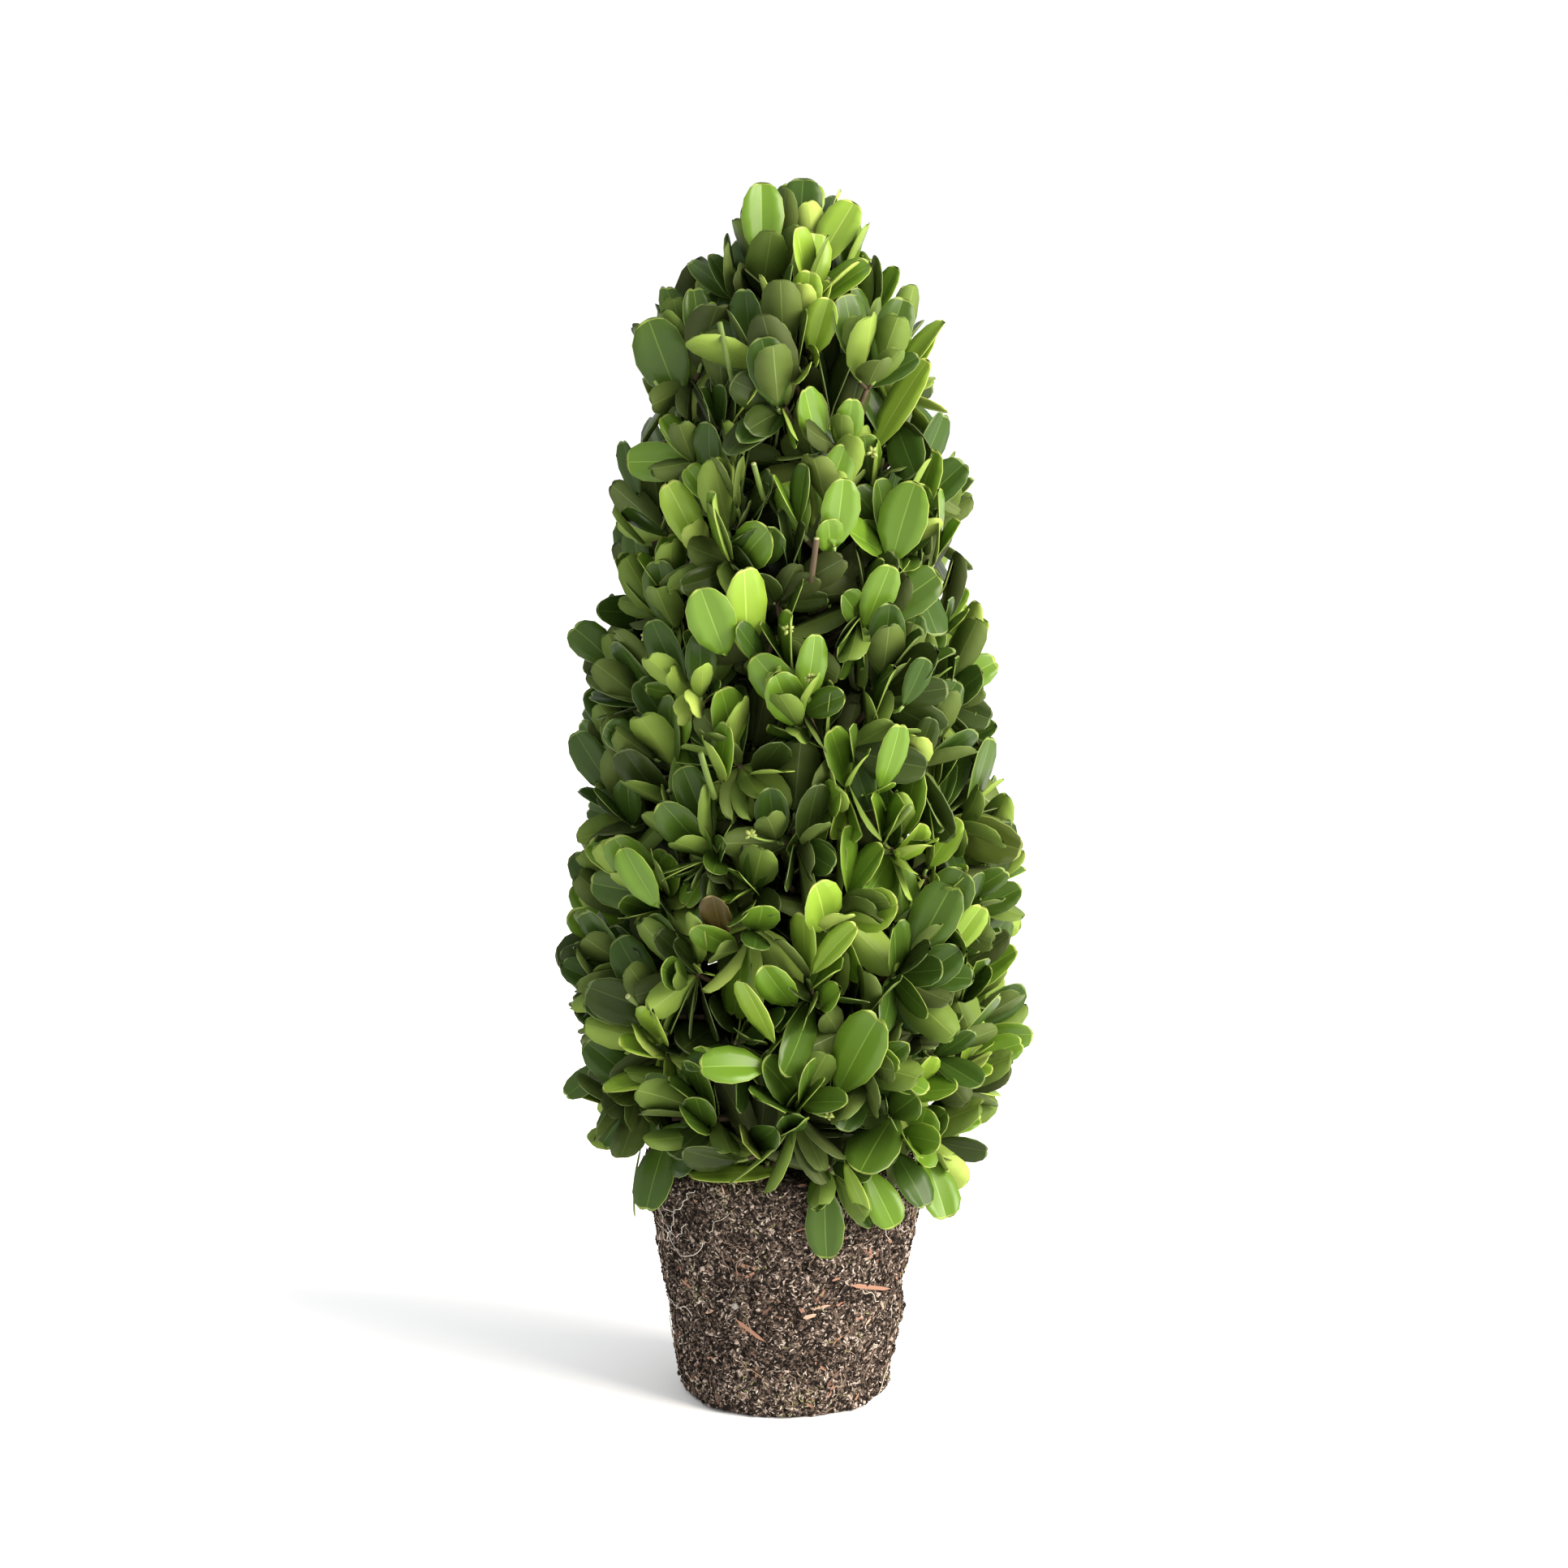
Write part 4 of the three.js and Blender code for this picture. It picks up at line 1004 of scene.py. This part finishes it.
# Single leaves that catch the eye or stand out of the outline take their places first: root, tip, what
# the upper side faces, width as a share of length, and tone.
SINGLE_LEAVES = np.array([
    (13.2, -45.5, 85.0, 13.2, -52.0, 60.5, 0, -1, 0.1, 0.52, 2),
    (16.8, -54.0, 116.0, 29.5, -70.0, 147.5, -0.2, -0.9, 0.45, 0.5, 3),
    (0.5, -40.0, 87.0, -30.7, -50.0, 88.0, 0, -0.35, 1, 0.38, 4),
    (26.0, -42.0, 89.0, 36.3, -50.0, 71.0, 0.3, -0.9, 0.35, 0.55, 3),
    (36.0, -36.0, 92.0, 47.0, -46.0, 77.0, 0.2, -0.8, 0.5, 0.6, 1),
    (45.0, -27.0, 91.0, 54.0, -38.0, 70.0, 0.6, -0.7, 0.2, 0.55, 3),
    (-38.0, -26.0, 95.0, -46.5, -38.0, 73.0, -0.5, -0.8, 0.3, 0.6, 2),
    (19.5, -47.0, 92.0, 25.5, -54.0, 76.0, -0.6, -0.7, 0.2, 0.4, 4),
    (-47.0, -14.0, 88.0, -53.0, -16.0, 65.0, -1, 0.1, 0.2, 0.35, 2),
    (-33.0, -12.0, 334.0, -44.0, -17.0, 361.0, -0.3, -0.9, 0.3, 0.6, 2),
    (37.0, -8.0, 341.0, 49.5, -10.0, 361.0, -0.2, -0.6, 0.75, 0.42, 4),
    (28.0, -14.0, 318.0, 44.0, -18.0, 349.0, -0.3, -0.7, 0.6, 0.36, 4),
    (-7.0, -9.0, 378.0, -7.5, -6.0, 404.0, 0, -1, 0.2, 0.55, 3),
    (5.0, -2.0, 380.0, 5.5, 0.0, 405.0, 0.1, -1, 0.1, 0.55, 1),
    (9.0, -8.0, 375.0, 22.0, -6.0, 398.0, -0.3, -0.9, 0.3, 0.5, 4),
    (34.0, -40.0, 286.0, 40.0, -46.0, 313.0, -0.1, -0.9, 0.4, 0.58, 3),
    (-18.5, -50.0, 258.0, -25.5, -63.5, 280.5, 0, -0.95, 0.3, 0.58, 3),
    (-11.5, -46.0, 257.0, -12.5, -60.0, 287.0, 0.2, -0.9, 0.3, 0.46, 4),
    (9.0, -64.0, 158.0, 21.0, -72.0, 177.0, -0.7, -0.6, 0.4, 0.42, 4),
    (-3.0, -66.0, 136.0, -13.0, -74.0, 159.0, -0.7, -0.7, 0.2, 0.5, 4),
    (-5.0, -66.0, 128.0, -26.0, -74.0, 132.0, 0, -0.7, 0.7, 0.6, 3),
    (30.0, -50.0, 214.0, 38.0, -59.0, 236.0, 0.5, -0.8, 0.4, 0.42, 3),
    (-19.0, -54.0, 167.0, -23.0, -65.0, 184.0, -0.2, -0.9, 0.3, 0.5, 6),
    (-40.0, -48.0, 176.0, -51.0, -53.0, 196.0, -0.4, -0.8, 0.4, 0.5, 3),
    (52.0, -36.0, 157.0, 63.0, -42.0, 176.0, 0.3, -0.8, 0.5, 0.45, 4),
    (-54.8, -8.0, 247.7, -67.1, -11.0, 261.8, -0.2, -0.9, 0.3, 0.68, 2),
    (-55.5, -8.0, 148.3, -74.2, -11.0, 150.0, -0.2, -0.9, 0.2, 0.66, 0),
    (-46.4, -10.0, 303.3, -53.1, -13.0, 321.5, -0.3, -0.9, 0.2, 0.36, 1),
    (-54.2, -10.0, 204.5, -68.6, -13.0, 226.4, -0.2, -0.9, 0.3, 0.46, 1),
    (62.0, -10.0, 166.1, 77.6, -13.0, 175.3, 0.2, -0.9, 0.3, 0.55, 2),
    (66.7, -8.0, 172.8, 74.8, -11.0, 196.7, 0.4, -0.9, 0.1, 0.46, 0),
    (63.1, -10.0, 116.9, 78.6, -13.0, 123.2, 0.1, -0.9, 0.3, 0.6, 3),
    (-57.4, -10.0, 115.6, -71.8, -13.0, 104.0, -0.3, -0.9, 0.3, 0.5, 2),
])
single_count = len(SINGLE_LEAVES)
single_root = SINGLE_LEAVES[:, :3] - CROWN_PLACE
single_along = unit(SINGLE_LEAVES[:, 3:6] - SINGLE_LEAVES[:, :3])
single_up = SINGLE_LEAVES[:, 6:9]
single_up = unit(single_up - single_along * np.sum(single_along * single_up, -1, keepdims=True))
single_axes = np.stack([single_along, np.cross(single_up, single_along), single_up], -2)
single_length = np.linalg.norm(SINGLE_LEAVES[:, 3:6] - SINGLE_LEAVES[:, :3], axis=-1)

# All others are placed one by one, the outermost pairs first. A leaf that would cross one that is there,
# or reach past the crown or into the ball, tries again, and after the last try it is left out.
leaf_root = np.concatenate([single_root, leaf_root])
leaf_length = np.concatenate([single_length, leaf_length])
leaf_width = np.concatenate([single_length * SINGLE_LEAVES[:, 9], leaf_width])
placed = np.arange(len(leaf_root)) < single_count
final_axes = np.zeros((len(leaf_root), 3, 3))
final_axes[:single_count] = single_axes
rings = np.zeros((len(leaf_root), len(EDGE_U), 3))
rings[:single_count] = [
    edge_ring(*leaf) for leaf in zip(single_root, single_axes, single_length, leaf_width)
]
for index in range(len(leaf_twig)):
    leaf = single_count + index
    near = np.flatnonzero(placed[:leaf])
    near = near[np.sum((leaf_root[near] - leaf_root[leaf]) ** 2, -1) < NEAR**2]
    for attempt in range(TRIES + 1):
        turn_by, open_by, roll_by = (
            far * (attempt * sway(index, attempt, k)) for far, k in zip(NUDGES, (21, 22, 23)))
        length, width = (size[leaf : leaf + 1] * SHRINK**attempt for size in (leaf_length, leaf_width))
        out = turned(side[index], forward[index], spin[index] + turn_by)
        axes = leaf_axes(
            forward[index], out, opening[index] + open_by, roll[index] + roll_by, rise[index])
        ring = edge_ring(leaf_root[leaf], axes, length, width)
        ring_turn = np.arctan2(ring[:, 0], -ring[:, 1])
        if (np.hypot(ring[:, 0], ring[:, 1]) > reach(ring_turn, ring[:, 2]) + PAST_REACH).any():
            continue
        if ring[:, 2].max() > TOTAL_HEIGHT:
            continue
        from_ball = np.hypot(ring[:, 0] + CROWN_PLACE[0], ring[:, 1])
        over_ball = from_ball < BALL_TOP_RADIUS - BALL_MARGIN[0]
        if (over_ball & (ring[:, 2] < BALL_HEIGHT + BALL_MARGIN[1])).any():
            continue
        mine = crossing(rings[near], leaf_root[leaf], axes, length, width)
        theirs = crossing(ring, leaf_root[near], final_axes[near], leaf_length[near], leaf_width[near])
        if not (mine | theirs).any():
            placed[leaf] = True
            leaf_length[leaf], leaf_width[leaf] = length[0], width[0]
            final_axes[leaf] = axes
            rings[leaf] = ring
            break

kept = np.flatnonzero(placed)
singles = np.arange(single_count)
shape, fold, curl, twist, notch, bend = (
    np.concatenate([sway(singles, 5, k + 300), chance(k)])[kept] for k in (10, 11, 12, 13, 14, 15)
)
shapes = leaf_shapes(
    leaf_length[kept], leaf_width[kept], 0.5 + 0.5 * shape, np.radians(FOLD[0] + FOLD[1] * fold),
    CURL[0] + CURL[1] * curl, TWIST * twist, np.clip(NOTCH[0] + NOTCH[1] * notch, 0, DEEPEST_NOTCH),
    BEND * bend,
)
leaf_points = np.einsum("nkj,nji->nki", shapes, final_axes[kept])
leaf_points = leaf_root[kept][:, None] + leaf_points + CROWN_PLACE

# A boxwood leaf has a waxy, fairly glossy upper side and a matt, paler underside. Six leaves in ten have
# their spray's tone and the others their own. A few are olive, and one is brown. For each tone: upper
# side, underside, rim, midrib, and how glossy the upper side is.
# The shaded tone is also painted shade: the inner shoots and the older pairs deep in the crown are dealt
# it, or darker steps, for where shade falls among the sprays.
TONES = {
    "shaded": ("#2c3915", "#3b4520", "#4c5b2e", "#3f4e22", 0.11),
    "deep": ("#304616", "#4b5a27", "#5f7036", "#475f25", 0.16),
    "full": ("#395017", "#586c2b", "#6f8037", "#546e29", 0.21),
    "fresh": ("#54721f", "#738939", "#7d8d3c", "#6d8a36", 0.24),
    "light": ("#75912f", "#8ea14b", "#93a04a", "#93a94f", 0.24),
    "olive": ("#414d1a", "#56652c", "#6f7b38", "#58662a", 0.18),
    "brown": ("#443a1c", "#524626", "#665c34", "#5a5029", 0.18),
}
LIGHT, OLIVE = 4, 5  # the tones up to light are steps from dark to pale
SPRAY_SHARES = [0.05, 0.38, 0.7, 0.91, 0.99]  # where each tone ends, for sprays and for single leaves
OWN_SHARES = [0.08, 0.38, 0.7, 0.9, 0.985]
AS_SPRAY = 0.6  # share of leaves that have their spray's tone
# Parts of the crown whose sprays are painted darker or paler by a step, painted shade and painted light
# for how the crown is lit there: their middle, their radius, and the step.
SHADE_AND_LIGHT_PARTS = [
    (0, -45, 288, 36, -1), (52, -38, 140, 30, -1), (30, -48, 190, 32, 1), (-48, -30, 292, 24, 1),
]
PART_SHARE = 0.75  # of the sprays in such a part
TIER_LIMITS = [124, 172, 221, 271, 321, 372]  # heights between the tiers, for the single leaves
leaf_materials = []
for tone, (upper_colour, under_colour, rim_colour, midrib_colour, gloss) in TONES.items():
    for side_name, colour, roughness, shine in (
        ("waxy upper side", upper_colour, 0.32, gloss), ("matt underside", under_colour, 0.55, 0.14),
        ("pale rim", rim_colour, 0.45, 0.3), ("midrib", midrib_colour, 0.4, gloss),
    ):
        leaf_materials.append(
            material(f"{tone} boxwood leaf, {side_name}", colour, roughness, Specular_IOR_Level=shine))

spray_tone = np.searchsorted(SPRAY_SHARES, draw(twig_number[leaf_twig], 3, 40))
own_tone = np.searchsorted(OWN_SHARES, draw(leaf_number, leaf_key, 41))
tone = np.where(draw(leaf_number, leaf_key, 42) < AS_SPRAY, spray_tone, own_tone)
# older pairs stand deeper in the crown and take darker tones: partly their age, partly painted shade
tone = np.where(tone < OLIVE, np.maximum(tone - PAIR_AGE_AND_PAINTED_SHADE[leaf_pair], 0), tone)
# painted shade and painted light: sprays in these parts of the crown step one tone darker or paler
for *middle, radius, step in SHADE_AND_LIGHT_PARTS:
    near = np.linalg.norm(end[leaf_twig] - middle, axis=-1) < radius
    near &= (tone < OLIVE) & (draw(twig_number[leaf_twig], 3, 43) < PART_SHARE)
    tone = np.where(near, np.clip(tone + step, 0, LIGHT), tone)
tone = np.where(twig_member[leaf_twig] == FORK, 0, tone)  # inner shoots take the shaded tone: painted shade deep in the crown
tone = np.concatenate([SINGLE_LEAVES[:, 10].astype(int), tone])[kept]
single_tier = np.searchsorted(TIER_LIMITS, SINGLE_LEAVES[:, 5])
kept_tier = np.concatenate([single_tier, mass_tier[twig_mass[leaf_twig]]])[kept]
for tier_number, tier in enumerate(TIERS):
    chosen = np.flatnonzero(kept_tier == tier_number)
    faces = [repeated(group, len(chosen), leaf_points.shape[1]) for group in leaf_face_groups]
    first_index = tone[chosen][:, None] * LEAF_PARTS
    indices = np.concatenate([(first_index + parts).ravel() for parts in leaf_parts])
    leaves = build_piece(f"leaves_{tier}", "leaf", leaf_points[chosen], faces, leaf_materials, indices)
    masses = [f"foliage_{label}" for label, t in zip(mass_label, mass_tier) if t == tier_number]
    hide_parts(*masses)


# ---- Cut shoots and flower buds ----
# The shears leave short green stubs with a pale, level cut. In some leaf axils stand clusters of small
# yellow-green flower buds.

# Where each of the plainest stubs starts and ends, and its radius.
STUBS = np.array([
    (-15.0, -33.0, 338.0, -20.2, -41.0, 362.5, 0.9),
    (-6.0, -44.0, 306.0, -9.5, -54.0, 319.6, 0.85),
    (-22.0, -58.0, 214.0, -26.1, -68.0, 230.1, 0.95),
    (8.5, -50.0, 282.0, 10.2, -57.0, 296.5, 0.9),
    (30.0, -42.0, 196.0, 40.0, -62.0, 212.0, 1.0),
    (-38.0, -36.0, 136.0, -50.0, -52.0, 148.0, 1.0),
])
RANDOM_STUBS = 14
RANDOM_RADIUS = 0.75
STUB_REACH = 7.0  # random stubs pass the twig's end by about this
STUB_STRAY = 0.5
STUB_SAG = 0.8
STUB_FOOT, STUB_TAPER = 1.1, 0.1  # its radius at the foot, of that at the cut, and what it loses
STUB_POINTS, STUB_SIDES = 5, 8
WOODY_STUB = 3  # the one that is older wood
BUD_PLACES = np.array([(2.3, -63, 268), (8.7, -66, 258), (50.9, -52, 135.5), (32, -42, 322),
                       (18, -73, 112), (-14, -70, 205), (-48, -40, 262)], float)
BUD_INWARD = 0.3  # each cluster stands this share of the way from there to the nearest twig
STALK_RADIUS, STALK_SIDES, STALK_SAG = 0.45, 6, 1.5
RANDOM_BUDS = 8
BUDS = 8  # in a cluster
BUD_PAST_TWIG = 2.0
BUD_RADIUS, BUD_RANGE = 0.4, 0.35
BUD_OUT = 1.2  # from its cluster's middle
BUD_DRAWN = 0.5
BUD_LEAN = (0, -0.15, 0.3)  # they turn a little to the front and up

outer_twigs = len(outer_spray)
stub_twig = (draw(np.arange(RANDOM_STUBS), 7, 71) * outer_twigs).astype(int)
stub_start = bezier(twig_controls[stub_twig], np.full((RANDOM_STUBS, 1), 0.5))[:, 0] + CROWN_PLACE
stub_stray = np.stack([sway(np.arange(RANDOM_STUBS), 7, k) for k in (72, 73, 74)], -1)
stub_heading = unit(heading[stub_twig] + STUB_STRAY * stub_stray)
stub_length = (apart[stub_twig] * 0.5 + STUB_REACH)[:, None]
stub_start = np.concatenate([STUBS[:, :3], stub_start])
stub_end = np.concatenate([STUBS[:, 3:6], stub_start[len(STUBS):] + stub_length * stub_heading])
stub_knee = 0.5 * (stub_start + stub_end) - [0, 0, STUB_SAG]
stub_run = np.linspace(0, 1, STUB_POINTS)
stub_path = bezier(np.stack([stub_start, stub_knee, stub_end], -2), stub_run[None])
stub_radii = np.concatenate([STUBS[:, 6], np.full(RANDOM_STUBS, RANDOM_RADIUS)])
stub_radii = stub_radii[:, None] * (STUB_FOOT - STUB_TAPER * stub_run)
stub_points, stub_faces = tubes(stub_path, stub_radii, STUB_SIDES)

# Smooth green bark with a little gloss, and a paler, matt cut.
stub_bark = material("green boxwood shoot", "#56692c", 0.5, Specular_IOR_Level=0.3)
stub_cut = material("cut end of a shoot", "#8f9660", 0.8)
stub_of_face = np.repeat(np.arange(len(stub_path)), (STUB_POINTS - 1) * STUB_SIDES)
stub_tone = np.concatenate([np.where(stub_of_face == WOODY_STUB, 2, 0), np.tile([0, 1], len(stub_path))])
build_piece("cut_shoots", "bark", stub_points, stub_faces, [stub_bark, stub_cut, woody], stub_tone)

# The flower buds stand in clusters on short green stalks that come from the nearest twig.
outer_ends = end[:outer_twigs] + CROWN_PLACE
stalk_foot = outer_ends[np.linalg.norm(BUD_PLACES[:, None] - outer_ends, axis=-1).argmin(1)]
stalk_tip = BUD_PLACES + BUD_INWARD * (stalk_foot - BUD_PLACES)
stalk_knee = 0.5 * (stalk_foot + stalk_tip) - [0, 0, STALK_SAG]
bud_stalks = bezier(np.stack([stalk_foot, stalk_knee, stalk_tip], -2), stub_run[None])
bud_stalk_points, bud_stalk_faces = tubes(
    bud_stalks, tapered(bud_stalks, STALK_RADIUS, STALK_RADIUS), STALK_SIDES)
build_piece("bud_stalks", "bark", bud_stalk_points, bud_stalk_faces, [green_twig])

# A bud is a small ball drawn out away from its cluster's middle, with a dull waxy skin.
bud_twig = (draw(np.arange(RANDOM_BUDS), 8, 75) * outer_twigs).astype(int)
bud_place = np.concatenate([stalk_tip, outer_ends[bud_twig] + BUD_PAST_TWIG * heading[bud_twig]])
cluster, bud = np.indices((len(bud_place), BUDS)).reshape(2, -1)
bud_out = unit(np.stack([sway(cluster, bud, k) for k in (76, 77, 78)], -1) + BUD_LEAN)
bud_size = BUD_RADIUS + BUD_RANGE * draw(cluster, bud, 79)
bud_centre = bud_place[cluster] + BUD_OUT * bud_out
bud_points = bud_centre[:, None] + ICOSAHEDRON * bud_size[:, None, None] \
    + BUD_DRAWN * (ICOSAHEDRON @ bud_out[..., None]) * bud_out[:, None]
flower_bud = material("boxwood flower bud", "#7f8b40", 0.5)
bud_faces = repeated(ICOSAHEDRON_FACES, len(bud), len(ICOSAHEDRON))
build_piece("flower_buds", "leaf", bud_points, [bud_faces], [flower_bud])


# ---- Floor, lights and camera ----
# A white sweep of paper under soft studio light: a large softbox high on the right, a small one low down
# for the root ball, and a white room round it. A long lens looks down on the plant a little.

FLOOR_HALF = 6000.0
WORLD_COLOUR, WORLD_STRENGTH = (0.985, 0.992, 1, 1), 1.02
LENS, SENSOR, TILT = 106.8, 36.0, 11.05  # millimetres, and degrees down
CAMERA_PLACE, CAMERA_REACH = (0, -1.5, 0.5), 20  # in metres

# White paper, matt, so that it only shows the plant's soft shadow.
paper = material("white paper floor", "#ffffff", 0.9, Specular_IOR_Level=0.1)
floor_corners = FLOOR_HALF * np.array([(-1, -1, 0), (1, -1, 0), (1, 1, 0), (-1, 1, 0)])
floor = build_piece("floor", None, floor_corners, [np.array([[0, 1, 2, 3]])], [paper])

world = bpy.data.worlds.new("white room")
bpy.context.scene.world = world
world.use_nodes = True
room = world.node_tree.nodes["Background"]
room.inputs["Color"].default_value = WORLD_COLOUR
room.inputs["Strength"].default_value = WORLD_STRENGTH


def softbox(name, place, aim, size, power, colour="#ffffff"):
    """A square area light at a place, facing a point. Places are in metres and power in watts."""
    light = bpy.data.lights.new(name, "AREA")
    light.size = size
    light.energy = power
    light.color = linear(colour)[:3]
    lamp = bpy.data.objects.new(name, light)
    lamp.location = place
    lamp.rotation_euler = (Vector(aim) - Vector(place)).to_track_quat("-Z", "Y").to_euler()
    bpy.context.scene.collection.objects.link(lamp)


softbox("key", (1.42, -0.83, 1.15), (0, 0, 0.2), 1.3, 94, "#fff6ea")
softbox("low fill", (0.62, -0.4, 0.14), (0, 0, 0.04), 0.4, 1.6)

camera_data = bpy.data.cameras.new("camera")
camera_data.sensor_width = SENSOR
camera_data.lens = LENS
camera_data.clip_end = CAMERA_REACH
camera = bpy.data.objects.new("camera", camera_data)
camera.location = CAMERA_PLACE
camera.rotation_euler = (math.radians(90 - TILT), 0, 0)
bpy.context.scene.collection.objects.link(camera)
bpy.context.scene.camera = camera
bpy.context.scene.view_settings.view_transform = "Standard"
